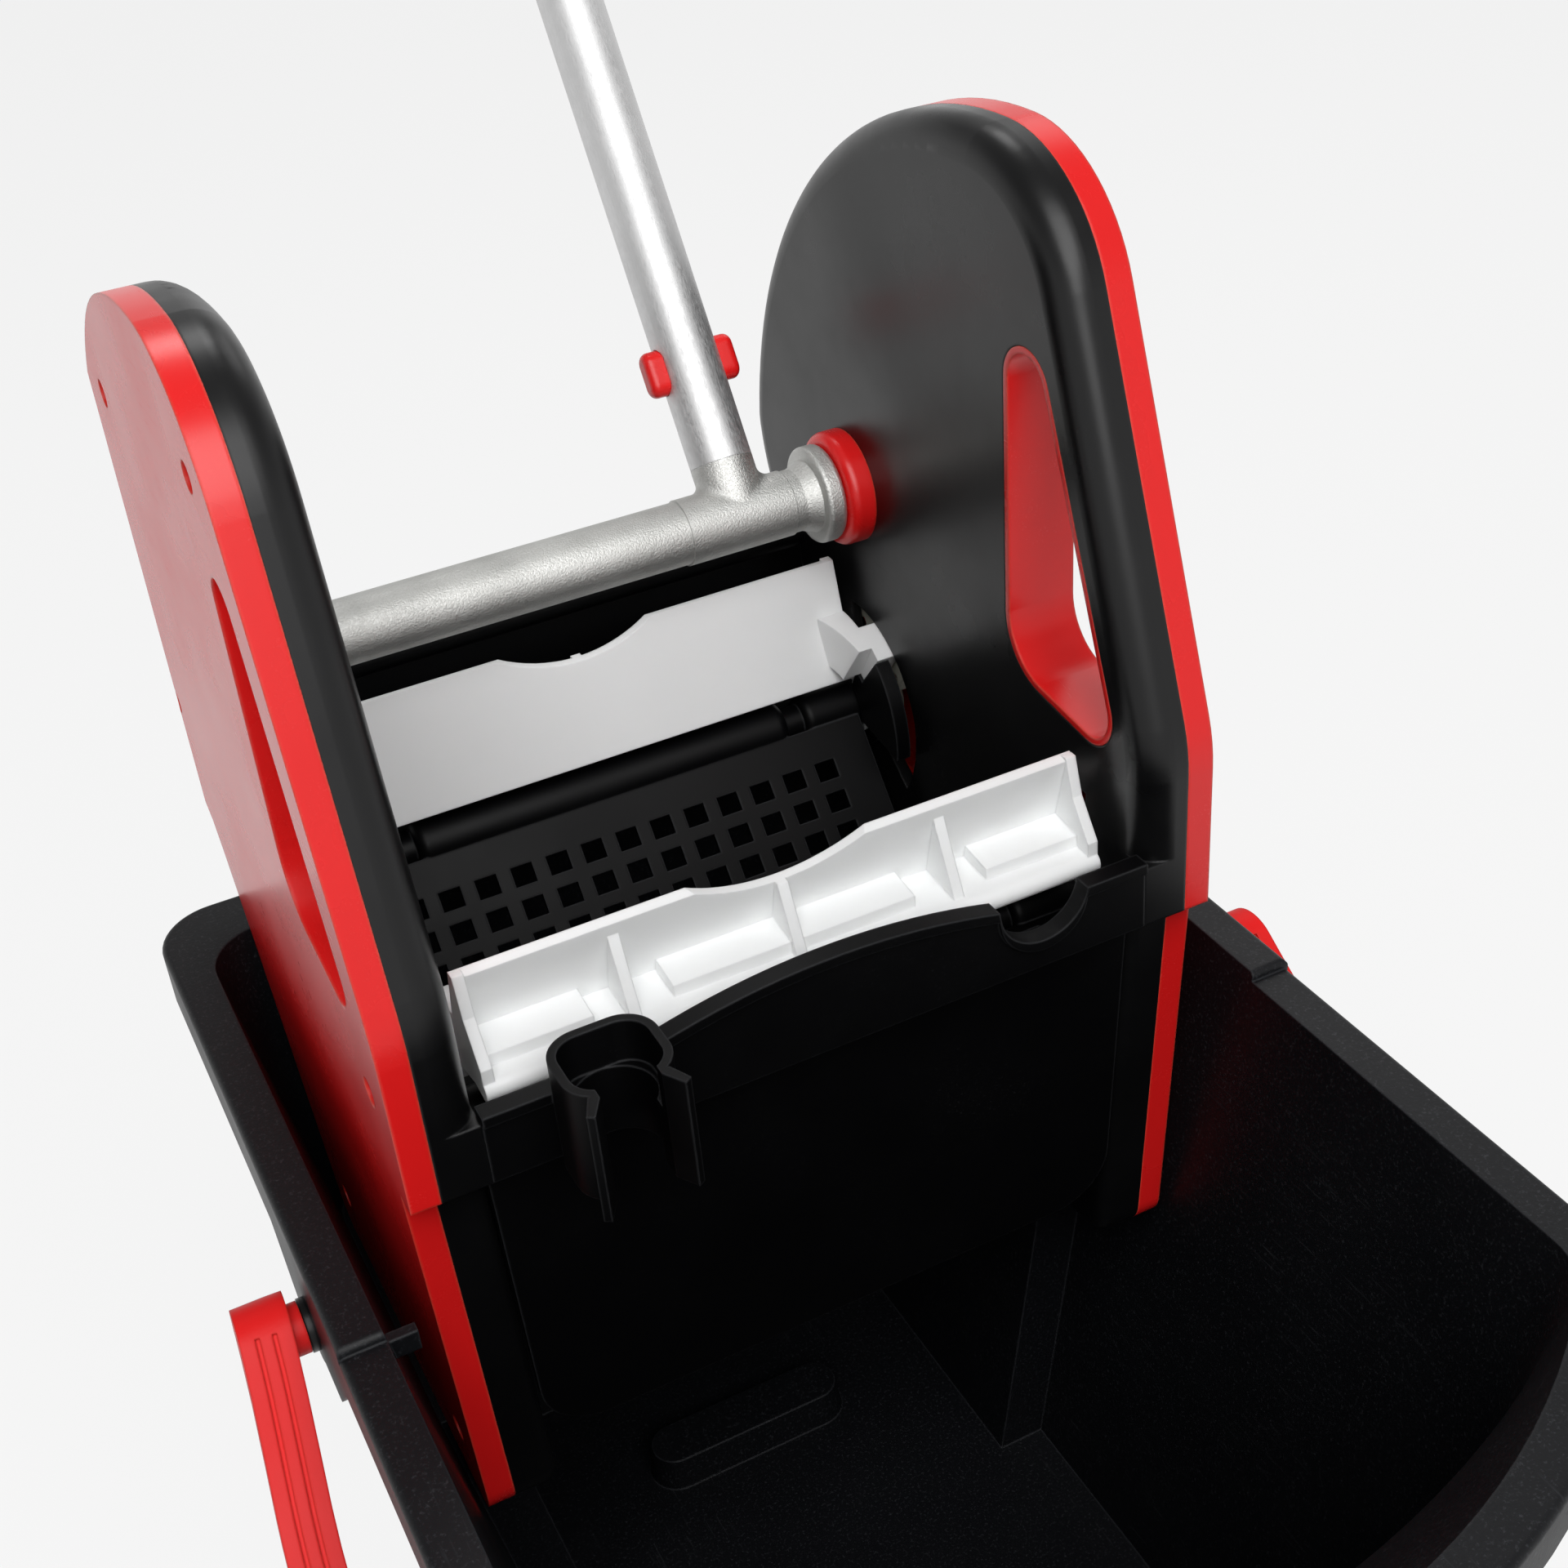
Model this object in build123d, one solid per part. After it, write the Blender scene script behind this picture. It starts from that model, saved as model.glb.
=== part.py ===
from build123d import *
import os
from math import acos, atan2, cos, degrees, pi, radians, sin, sqrt, tan

# Mop bucket trolley: a tapered bucket on four swivel castors, with a lift-out press of two geared jaws.
# Millimetres. +X is the user's right, +Y the rear (press end), +Z up, Z = 0 the floor under the wheels.

# Fits and clearances
RUN = 0.05            # radial play of a turning shaft in its bore
SEAT_GAP = 0.3        # gap where the press stands on the bucket
FIT = 0.2             # gap round a piece that is pushed or screwed home

# Bucket
RIM_Z = 400.0         # top of the front rim
RIM_RAISE = 3.5       # the rim is this much higher beside the press
RIM_HALF = 181.0      # half the width over the rim
RIM_FRONT = -385.0    # Y of the pouring lip's tip
RIM_CORNER = -311.0   # Y where the rim's sides end and the bowed front starts
RIM_REAR = 119.0      # Y of the rim's rear edge
RIM_WIDE = 16.0       # rim's flat on the sides
RIM_WIDE_FRONT = 16.0
RIM_WIDE_REAR = 26.0
RIM_THICK = 4.0
RIM_SKIRT = 20.0      # how far the rim turns down outside
RIM_ROUND = 2.5
LIP_Z = 362.0         # below this height the front wall stops flaring out to the lip
LIP_REACH = 26.0      # how far the flare carries the lip forward
STEP_Y = -141.0       # where the raised part of the rim ends
CORNER_FRONT = 42.0   # rim's outer corner radius at the front
CORNER_REAR = 24.0
FLOOR_Z = 108.0       # inside of the bucket's floor
FLOOR_THICK = 4.0
FLOOR_HALF = 118.0    # half the inside width at the floor
FLOOR_FRONT = -302.0
FLOOR_CORNER = -284.0
FLOOR_REAR = 60.0
WALL = 3.5
BAY_Y = -66.0         # front face of the columns that carry the press
BAY_DEEP = 21.0       # how far the columns stand in from the side walls
BOSS_LONG = 96.0      # raised obround on the floor
BOSS_WIDE = 26.0
BOSS_HIGH = 16.0
GUIDE_REACH = 10.0    # rib inside the rim's step on the left that guides the press
GUIDE_THICK = 4.0
GUIDE_HIGH = 9.0
EAR_LOW = 11.0        # ears under the rim that carry the bail: below the pivot
EAR_SLANT = 22.0
EAR_REAR = 45.0       # behind the pivot

# Bail
BAIL_Y = -90.0       # pivot
BAIL_Z = 369.0
BAIL_PIN_R = 6.0
BAIL_DROP = 39.0      # degrees below level when it hangs in front
BAIL_EYE_R = 14.0
BAIL_THICK = 16.0     # across the bow's plane
BAIL_WIDE = 17.5      # in the bow's plane
BAIL_BOSS_R = 9.0
BAIL_BLIND = 18.0     # end of the pin's blind hole in the arm, beyond the rim
BAIL_GROOVE = 1.5
BAIL_NECK = 70.0      # from the pivot to where the eye has run into the strap
BAIL_LONG = 311.0     # from the pivot to the middle of the hand bar
# Middle line of the bow's right half: distance beyond the rim's side, distance from the pivot
BAIL_ARM = [
    (14.8, -14.0), (15.8, 0.0), (20.0, 37.0), (23.5, 65.0), (25.5, 110.0), (22.5, 160.0), (15.5, 200.0),
    (3.0, 237.0), (-17.0, 266.0), (-49.0, 289.0), (-89.0, 303.0), (-135.0, 309.5),
]
WASHER_R = 9.5
WASHER_THICK = 2.5

# Side housings of the press, each a black inner shell and a red outer cover
INNER_X = 121.0       # inner face of the shell
JOINT_X = 138.0       # joint between shell and cover
OUTER_X = 148.0       # outer face of the cover
SHELL_WALL = 4.0
POCKET_X = 142.0      # depth of the cover's pocket
EDGE_WALL = 5.0
POCKET_DOWN = 52.0    # the pocket reaches this far below the overhang
FRONT_Y = -135.5      # front edge above the overhang
OVERHANG_Z = 440.0
KINK_Z = 506.0
SLANT_DEG = 18.8      # front edge leans back from upright above the kink
ARC_CENTRE = (-27.0, 505.0)
ARC_R = 188.6         # big arc over the top and rear
REAR_Z = 530.0        # height where the big arc ends
KINK_ROUND = 60.0
SHOULDER_ROUND = 60.0
REAR_ROUND = 30.0
LEG_FRONT_Y = -125.5  # leg under the overhang
LEG_DEPTH = 168.0     # overhang to the foot of the leg
LEG_IN = 6.0          # legs lean in by this much at the foot
LEG_BACK = 7.5        # front edge of the leg leans back by this much
LEG_REAR_IN = 34.0    # rear edge of the leg leans forward by this much
LEG_CORNER = 14.0
SHELL_ROUND = 12.0    # big rounding of the shell's inner edge
LEG_ROUND = 6.0
COVER_ROUND = 4.0
CREASE_Z = 464.0      # below this height the shell's front corner is square
CROWN_Y = 112.0       # cover's face falls away behind this line
CROWN_DEG = 7.0
SLOT_TOP = (-64.0, 616.0)
SLOT_REAR = (-72.0, 526.0)
SLOT_FRONT = (-101.0, 512.0)
SLOT_R = 11.5
SLOT_REAR_R = 21.5
SLOT_LINER = 2.5
SCREW_R = 2.0
SCREW_HEAD_R = 3.6
SCREW_HEAD = 2.6
SCREW_WELL_R = 5.0
SCREW_WELL = 4.5
SCREW_LONG = 14.0
SCREW_BOSS_R = 5.0
SCREWS = [(-60.0, 658.0), (84.0, 634.0), (112.0, 500.0), (-114.0, 474.0), (-96.0, 300.0), (40.0, 300.0)]

# Lever and cross shaft
LEVER_Y = 70.0
LEVER_Z = 530.0
LEVER_LEAN = 33.0     # degrees behind upright at rest
LEVER_TRAVEL = 88.0
LEVER_X = 72.0        # the lever stands near the right end of the shaft
TUBE_R = 12.5
TUBE_WALL = 1.5
SPLIT = 22.0          # shaft axis to the joint of socket and tube
SPIGOT = 52.0         # length of the spigot inside the tube
LEVER_LONG = 452.0    # shaft axis to the top of the tube
GRIP_LONG = 112.0
GRIP_R = 16.0
GRIP_CAP = 14.0       # solid end of the grip above the tube
BUTTON_AT = 61.5      # shaft axis to the snap buttons
BUTTON_LONG = 18.0
BUTTON_WIDE = 10.0
BUTTON_IN = 5.0       # inner end of a button, from the lever's axis
BUTTON_PROUD = 6.5
BUTTON_TRAVEL = 4.5
SADDLE_ROUND = 4.0    # casting radius where the socket meets the shaft
FLANGE_R = 19.5
FLANGE_X = 102.5
FLANGE_THICK = 8.0
JOURNAL_R = 11.0
BUSH_R = 23.0
BUSH_SLEEVE_R = 14.0
KEY = 13.0            # square ends that carry the gears

# Jaws, drawn about their pivots: u towards the mop, v up
REAR_PIVOT = (69.0, 431.0)
JAW_SPAN = 162.0      # distance between the two pivots
JAW_HALF = 114.0
JAW_FACE_LOW = (7.0, 16.0)
JAW_FACE_TOP = (-6.5, 65.0)
JAW_THICK = 4.0
JAW_SHELF = 26.0      # reach of the stiffening shelf behind the pivot
JAW_SHELF_V = 32.0
JAW_RIBS = 60.0       # spacing of the gussets
JAW_PAD = 5.0         # raised pads on the shelf between the gussets
JAW_PAD_HALF = 45.0
JAW_PAD_END = 41.0
JAW_NOTCH = 33.0      # half width of the pole notch
JAW_NOTCH_DEEP = 9.0
PIVOT_R = 10.0
CHEEK_THICK = 4.4
CHEEK_R = 13.0
LUG_R = 44.0
LUG_INNER_R = 24.0
LUG_FROM = 17.0       # degrees from upright, towards the mop
SLOT_FROM = -8.0      # where the lug's slot in the shell begins
LUG_TO = 40.0
LUG_WEB = 12.0        # web that runs from the lug on to the jaw's face
ARC_PLAY = 0.6
PLATE_R = 43.5        # black sectors on the rear jaw's ends
PLATE_TO = 98.0       # degrees from upright
SKIN_FROM = 27.0      # the sectors' thin skin in front of the lugs begins here
SKIN_R = 24.0
SKIN_IN = 1.5         # the skin's inner face, in from the jaw's end
PLATE_BACK_R = 20.0
PLATE_GAP = 0.3
PLATE_IN = 2.4        # clear of the shells' leaning legs

# Gear train in each housing
MODULE = 2.5
LEVER_TEETH = 15
JAW_TEETH = 16
FIRST_IDLER_TEETH = 28
SECOND_IDLER_TEETH = 38
PRESSURE = 20.0
BACKLASH = 0.35
GEAR_X = 126.5
GEAR_THICK = 7.0
IDLER_PIN_R = 5.0
IDLER_BOSS_R = 9.0

# Basket between the housings
BASKET_WALL = 3.0
TROUGH_HALF = 112.0
RIDGE_HALF = 116.0    # the roll along each pivot, with a waist near its ends
RIDGE_R = 11.5
RIDGE_END_R = 10.5
WAIST_FROM = 81.0
WAIST_TO = 89.0
WAIST_R = 7.0
TROUGH_DROP = 50.0    # slope of the perforated walls
HOLE_PITCH_X = 15.0
HOLE_PITCH = 13.5
HOLE_WIDE = 9.0
HOLE_HIGH = 8.0
HOLE_COLUMNS = 13
HOLE_ROWS = 5
APRON_THICK = 3.5
APRON_SIDE_Z = 467.5
APRON_CROWN_Z = 478.5
APRON_ARC = 62.0
APRON_LOW_Z = 302.0
APRON_CORNER = 24.0
BEAD = 4.0
BEAD_PROUD = 1.8
NOTCH_X = 79.5
NOTCH_R = 17.0
NOTCH_DEEP = 15.0
REAR_WALL_TOP = 495.0
REAR_WALL_THICK = 3.5
HOOK_LOW = 382.0
HOOK_GAP = 0.6
REST_RIBS = (-90.0, -30.0, 30.0, 90.0)
CLIP_X = -81.0
CLIP_Y = -146.5
CLIP_WIDE = 36.0
CLIP_DEEP = 33.0
CLIP_ROUND = 12.0
CLIP_WALL = 3.0
CLIP_BORE = 13.2      # grip below the step
CLIP_STEP = 466.0     # above this height the clip is thin and square inside
CLIP_MOUTH = 20.0
CLIP_LIP = 7.5
CLIP_TOP = 482.0
CLIP_LOW = 440.0

# Castors
CASTOR_X = 90.0
CASTOR_REAR = 30.0
CASTOR_FRONT = -252.0
WHEEL_R = 37.5
WHEEL_WIDE = 22.0
WHEEL_HUB_R = 11.0
CASTOR_TRAIL = 28.0
FORK_GAP = 27.0
FORK_THICK = 4.0
FORK_HEAD_R = 25.0
FORK_CROWN_LOW = 82.0
AXLE_R = 4.0
PLATE_HALF = 27.0
PLATE_THICK = 3.0
KINGPIN_R = 6.0

# Values worked out from the driving dimensions
PLATE_TOP = FLOOR_Z - FLOOR_THICK
FRONT_PIVOT = (REAR_PIVOT[0] - JAW_SPAN, REAR_PIVOT[1])
LEVER_AXIS = (LEVER_Y, LEVER_Z)
JAW_RATIO = LEVER_TEETH / JAW_TEETH
JAW_TRAVEL = LEVER_TRAVEL * JAW_RATIO
LEG_FOOT_Z = OVERHANG_Z - LEG_DEPTH
REAR_Y = ARC_CENTRE[0] + ARC_R
APEX_Z = ARC_CENTRE[1] + ARC_R
LEDGE_Z = LEG_FOOT_Z - SEAT_GAP
REST_Z = RIM_Z + RIM_RAISE + SEAT_GAP
WALL_SLOPE = (RIM_HALF - RIM_WIDE - FLOOR_HALF) / (RIM_Z - FLOOR_Z)
BAIL_LINE = [(RIM_HALF + out, t) for out, t in BAIL_ARM] + [(0.0, BAIL_LONG)]
BAIL_OUTER = max(x for x, t in BAIL_LINE) + BAIL_WIDE
BAIL_END = BAIL_LINE[-1][1] + BAIL_WIDE
BUSH_X = FLANGE_X + FLANGE_THICK + SEAT_GAP
REAR_WALL_Y = RIM_REAR + HOOK_GAP


def yz(x):
    """Sketch plane at X = x, with (Y, Z) as its own axes and +X as its normal."""
    return Plane.YZ.offset(x)


def slab(sketch, low, high):
    """A (Y, Z) sketch made solid between two X positions."""
    return extrude(yz(low) * sketch, amount=high - low)


def disc(center, radius, low, high):
    """Cylinder along X between two X positions."""
    return slab(Pos(center[0], center[1]) * Circle(radius), low, high)


def block(low, high):
    """Box between two opposite corners."""
    size = [b - a for a, b in zip(low, high)]
    middle = [(a + b) / 2 for a, b in zip(low, high)]
    return Pos(*middle) * Box(*size)


def both_sides(shape):
    """The shape and its mirror image in the plane X = 0."""
    return shape + mirror(shape, about=Plane.YZ)


def polygon(*points):
    return make_face(Polyline(*points, close=True))


def bucket_outline(half, front, corner, rear, front_round, rear_round):
    """Plan of the tub: straight sides, square rear, and a front that bows out to a pouring lip."""
    edge = Polyline((half, corner), (half, rear), (-half, rear), (-half, corner))
    edge += ThreePointArc((-half, corner), (0, front), (half, corner))
    face = make_face(edge)
    face = fillet(face.vertices().group_by(Axis.Y)[-1], rear_round)
    return fillet(face.vertices().group_by(Axis.Y)[0], front_round)


def tub_section(z, grow):
    """Plan of the tub's inside at a height, grown outwards by a wall."""
    share = (z - FLOOR_Z) / (RIM_Z - FLOOR_Z)
    flare = max(0.0, (z - LIP_Z) / (RIM_Z - LIP_Z))
    half = FLOOR_HALF + share * (RIM_HALF - RIM_WIDE - FLOOR_HALF) + grow
    lip = RIM_FRONT + RIM_WIDE_FRONT + LIP_REACH
    front = FLOOR_FRONT + share * (lip - FLOOR_FRONT) - flare * LIP_REACH - grow
    corner = FLOOR_CORNER + share * (RIM_CORNER + RIM_WIDE_FRONT / 2 - FLOOR_CORNER) - grow / 2
    rear = FLOOR_REAR + share * (RIM_REAR - RIM_WIDE_REAR - FLOOR_REAR) + grow
    front_round = (0.75 + 0.25 * share) * (CORNER_FRONT - RIM_WIDE_FRONT) + grow
    rear_round = (0.75 + 0.25 * share) * CORNER_REAR + grow
    return Pos(0, 0, z) * bucket_outline(half, front, corner, rear, front_round, rear_round)


def tub(low_z, high_z, grow):
    """The tub's inside, grown outwards by a wall: a plain taper, then the flare to the lip."""
    taper = loft([tub_section(low_z, grow), tub_section(LIP_Z, grow)], ruled=True)
    return taper + loft([tub_section(LIP_Z, grow), tub_section(high_z, grow)], ruled=True)


def make_bucket():
    """Tapered tub with a turned-down rim, a pouring lip, columns for the press and pivots for the bail."""
    rim = bucket_outline(RIM_HALF, RIM_FRONT, RIM_CORNER, RIM_REAR, CORNER_FRONT, CORNER_REAR)
    skirt_inside = offset(rim, -RIM_THICK)
    body = tub(PLATE_TOP, RIM_Z, WALL)
    flat = extrude(Pos(0, 0, RIM_Z - RIM_THICK) * rim, amount=RIM_THICK)
    flat = fillet(flat.faces().sort_by(Axis.Z)[-1].edges(), RIM_ROUND)
    body += flat
    body += extrude(Pos(0, 0, RIM_Z - RIM_SKIRT) * (rim - skirt_inside), amount=RIM_SKIRT - RIM_ROUND)
    raised = extrude(Pos(0, 0, RIM_Z - RIM_ROUND) * rim, amount=RIM_RAISE + RIM_ROUND)
    raised &= block((-RIM_HALF, STEP_Y, 0), (RIM_HALF, RIM_REAR, RIM_Z + RIM_RAISE))
    body += fillet(raised.faces().sort_by(Axis.Z)[-1].edges(), RIM_ROUND)
    hollow = tub(FLOOR_Z, RIM_Z + RIM_RAISE, 0)
    narrow = block((-RIM_HALF, BAY_Y, FLOOR_Z), (RIM_HALF, RIM_REAR, LEDGE_Z))
    column = hollow & narrow
    column -= bay_hollow()
    body -= hollow
    body += column
    guide_in = RIM_HALF - RIM_WIDE - GUIDE_REACH
    guide_out = RIM_HALF - RIM_WIDE + WALL / 2
    guide = block((guide_in, STEP_Y, RIM_Z - GUIDE_HIGH), (guide_out, STEP_Y + GUIDE_THICK, RIM_Z - 1))
    body += mirror(guide, about=Plane.YZ)
    low = BAIL_Z - EAR_LOW
    ear = polygon((STEP_Y + 1, RIM_Z - RIM_SKIRT + 2), (STEP_Y + 1 + EAR_SLANT, low),
                  (BAIL_Y + EAR_REAR - EAR_SLANT, low), (BAIL_Y + EAR_REAR, RIM_Z - RIM_SKIRT + 2))
    ear = fillet(ear.vertices().group_by(Axis.Y)[0], 5) + Pos(BAIL_Y, BAIL_Z) * Circle(BAIL_EYE_R)
    body += both_sides(slab(ear, RIM_HALF - RIM_THICK, RIM_HALF))
    pivot = disc((BAIL_Y, BAIL_Z), BAIL_EYE_R, RIM_HALF - RIM_WIDE - 3 * WALL, RIM_HALF)
    pivot -= hollow
    body += both_sides(pivot)
    pin_hole = disc((BAIL_Y, BAIL_Z), BAIL_PIN_R, RIM_HALF - RIM_WIDE + WALL, RIM_HALF + RIM_WIDE)
    body -= both_sides(pin_hole)
    boss = extrude(Pos(0, 0, FLOOR_Z) * SlotOverall(BOSS_LONG, BOSS_WIDE), amount=BOSS_HIGH, taper=8)
    body += boss
    return body


def bay_hollow():
    """The bucket's inside with its side walls moved in by the depth of the columns."""
    sections = []
    for z in (FLOOR_Z, LEDGE_Z):
        half = FLOOR_HALF + (z - FLOOR_Z) * WALL_SLOPE - BAY_DEEP
        sections.append(Pos(0, (RIM_REAR + BAY_Y) / 2, z) * Rectangle(2 * half, 2 * (RIM_REAR - BAY_Y)))
    return loft(sections, ruled=True)


def make_bail_pins():
    """Pivot pins with a washer face, one on each side, pushed into the arms' blind holes."""
    pin = disc((BAIL_Y, BAIL_Z), BAIL_PIN_R, RIM_HALF - RIM_WIDE + WALL, RIM_HALF + BAIL_BLIND - SEAT_GAP)
    pin += disc((BAIL_Y, BAIL_Z), WASHER_R, RIM_HALF, RIM_HALF + WASHER_THICK)
    return both_sides(pin)


def bow_edge(shift, first=0, last=None):
    """Points of the bow's middle line, from one arm to the other, moved outwards by a distance."""
    line = BAIL_LINE + [(-x, t) for x, t in BAIL_LINE[-2::-1]]
    points = []
    for i, (x, t) in enumerate(line):
        before = line[max(0, i - 1)]
        after = line[min(len(line) - 1, i + 1)]
        dx = after[0] - before[0]
        dt = after[1] - before[1]
        size = sqrt(dx * dx + dt * dt)
        points.append((x + shift * dt / size, t - shift * dx / size))
    return points[first:last]


def bow_strip(low, high, first=0, last=None):
    """Strip along the bow between two distances from its middle line."""
    inside = bow_edge(low, first, last)
    outside = bow_edge(high, first, last)
    edge = Spline(*outside)
    edge += Line(outside[-1], inside[-1])
    edge += Spline(*inside[::-1])
    edge += Line(inside[0], outside[0])
    return make_face(edge)


def bow_profile(less):
    """Side view of the bow: round eye, then an even strap; drawn smaller by a skin."""
    neck = Pos(BAIL_NECK, 0) * Circle(BAIL_THICK / 2 - less)
    eye = make_hull(Circle(BAIL_EYE_R - less).edges() + neck.edges())
    return eye + Pos((BAIL_NECK + BAIL_END) / 2, 0) * Rectangle(BAIL_END - BAIL_NECK, BAIL_THICK - 2 * less)


def make_bail():
    """Carrying bow in one sweep from pivot to pivot, with fluted arms and bosses towards the rim."""
    half = BAIL_WIDE / 2
    bow = extrude(bow_strip(-half, half), amount=2 * BAIL_EYE_R, both=True)
    bow &= slab(bow_profile(0), -BAIL_OUTER, BAIL_OUTER)
    skin = slab(bow_profile(BAIL_GROOVE), -BAIL_OUTER, BAIL_OUTER)
    for low, high in ((-3.6, -2.0), (2.0, 3.6)):
        groove = extrude(bow_strip(low, high, 1, 8), amount=2 * BAIL_EYE_R, both=True) - skin
        bow -= both_sides(groove)
    inner = BAIL_LINE[1][0] - half + 2
    bow += both_sides(disc((0, 0), BAIL_BOSS_R, RIM_HALF + WASHER_THICK + SEAT_GAP, inner))
    bow -= both_sides(disc((0, 0), BAIL_PIN_R + RUN, RIM_HALF, RIM_HALF + BAIL_BLIND))
    turn = Rot(X=180 + BAIL_DROP)
    return Pos(0, BAIL_Y, BAIL_Z) * (turn * bow)


def housing_outline():
    """Side view of a housing above the overhang, in (Y, Z): straight front edges and one big rear arc."""
    lean = radians(SLANT_DEG)
    ahead = (FRONT_Y - ARC_CENTRE[0]) * sin(lean) + (KINK_Z - ARC_CENTRE[1]) * cos(lean)
    gap = (FRONT_Y - ARC_CENTRE[0]) ** 2 + (KINK_Z - ARC_CENTRE[1]) ** 2 - ARC_R ** 2
    slant = -ahead + sqrt(ahead ** 2 - gap)
    kink = (FRONT_Y, KINK_Z)
    shoulder = (FRONT_Y + slant * sin(lean), KINK_Z + slant * cos(lean))
    rear = (ARC_CENTRE[0] + sqrt(ARC_R ** 2 - (REAR_Z - ARC_CENTRE[1]) ** 2), REAR_Z)
    hip = (rear[0] - 56, OVERHANG_Z + 10)
    edge = Polyline((leg_rear(OVERHANG_Z), OVERHANG_Z), (FRONT_Y, OVERHANG_Z), kink, shoulder)
    edge += ThreePointArc(shoulder, arc_point(58), rear)
    edge += ThreePointArc(rear, (rear[0] - 20, REAR_Z - 52), hip)
    edge += Line(hip, (leg_rear(OVERHANG_Z), OVERHANG_Z))
    face = make_face(edge)
    for corner, soft in ((kink, KINK_ROUND), (shoulder, SHOULDER_ROUND), (rear, REAR_ROUND)):
        near = face.vertices().sort_by_distance((corner[0], corner[1], 0))[0]
        face = fillet(near, soft)
    return face


def arc_point(angle):
    """Point on the big rear arc, at an angle up from +Y."""
    return (ARC_CENTRE[0] + ARC_R * cos(radians(angle)), ARC_CENTRE[1] + ARC_R * sin(radians(angle)))


def leg_rear(z):
    """Y of the leg's rear edge: kept clear of the bucket's rear wall as it goes down."""
    return RIM_REAR - RIM_WIDE_REAR + 3 - (OVERHANG_Z - z) / LEG_DEPTH * LEG_REAR_IN


def leg(low_x, high_x, soft):
    """One leg between two X positions at the overhang, leaning in to the foot, with a softened inner edge."""
    top = Pos((low_x + high_x) / 2, 0, OVERHANG_Z)
    foot = Pos((low_x + high_x) / 2 - LEG_IN, 0, LEG_FOOT_Z)
    sections = []
    for place, z, front in ((foot, LEG_FOOT_Z, LEG_FRONT_Y + LEG_BACK), (top, OVERHANG_Z, LEG_FRONT_Y)):
        rear = leg_rear(z)
        sections.append(place * Pos(0, (front + rear) / 2) * Rectangle(high_x - low_x, rear - front))
    solid = loft(sections, ruled=True)
    foot_edges = solid.faces().sort_by(Axis.Z)[0].edges().filter_by(Axis.X)
    solid = fillet(foot_edges, LEG_CORNER)
    if soft:
        solid = fillet(solid.faces().sort_by(Axis.X)[0].edges().filter_by(Axis.Y, reverse=True), soft)
    return solid


def hand_slot(grow):
    """Tapered hand opening, grown all round."""
    corners = ((SLOT_TOP, SLOT_R), (SLOT_REAR, SLOT_REAR_R), (SLOT_FRONT, SLOT_R))
    edges = [e for c, r in corners for e in (Pos(c[0], c[1]) * Circle(r + grow)).edges()]
    return make_hull(edges)


def pocket():
    """Room for the gears inside a housing, in (Y, Z)."""
    room = offset(housing_outline(), -EDGE_WALL)
    low = OVERHANG_Z - POCKET_DOWN
    front = LEG_FRONT_Y + EDGE_WALL
    rear = leg_rear(OVERHANG_Z) - EDGE_WALL
    low_rear = leg_rear(low) - EDGE_WALL
    room += polygon((front, KINK_Z), (front, low), (low_rear, low), (rear, OVERHANG_Z), (rear, KINK_Z))
    return room


def arc_slot(pivot, side):
    """Annular slot in the shell that the jaw's drive lug sweeps; side +1 opens towards +Y."""
    first = SLOT_FROM
    last = LUG_TO + JAW_TRAVEL + 3
    ring = Circle(LUG_R + ARC_PLAY) - Circle(LUG_INNER_R - ARC_PLAY)
    fan = [(0.0, 0.0)]
    steps = 5
    for step in range(steps + 1):
        angle = radians(first + (last - first) * step / steps)
        fan.append((side * 2 * LUG_R * sin(angle), 2 * LUG_R * cos(angle)))
    return Pos(pivot[0], pivot[1]) * (ring & polygon(*fan))


def gear_places():
    """Centres of the gears: each idler touches its two neighbours' pitch circles."""
    radius = {"lever": LEVER_TEETH, "jaw": JAW_TEETH, "first": FIRST_IDLER_TEETH, "second": SECOND_IDLER_TEETH}
    radius = {name: teeth * MODULE / 2 for name, teeth in radius.items()}

    def third_point(a, ra, b, rb, side):
        span = sqrt((b[0] - a[0]) ** 2 + (b[1] - a[1]) ** 2)
        along = (ra ** 2 - rb ** 2 + span ** 2) / (2 * span)
        off = sqrt(ra ** 2 - along ** 2)
        dy = (b[0] - a[0]) / span
        dz = (b[1] - a[1]) / span
        return (a[0] + along * dy - side * off * dz, a[1] + along * dz + side * off * dy)

    first = third_point(REAR_PIVOT, radius["jaw"] + radius["first"], LEVER_AXIS,
                        radius["lever"] + radius["first"], 1)
    second = third_point(first, radius["first"] + radius["second"], FRONT_PIVOT,
                         radius["second"] + radius["jaw"], 1)
    return first, second


FIRST_IDLER, SECOND_IDLER = gear_places()


def mesh_phase(center, teeth, phase, other, other_teeth):
    """Angle of a tooth on the second gear so that it meshes with the first."""
    line = atan2(other[1] - center[1], other[0] - center[0])
    share = (line - phase) * teeth / (2 * pi)
    return line + pi - (0.5 - share) * 2 * pi / other_teeth


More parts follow.
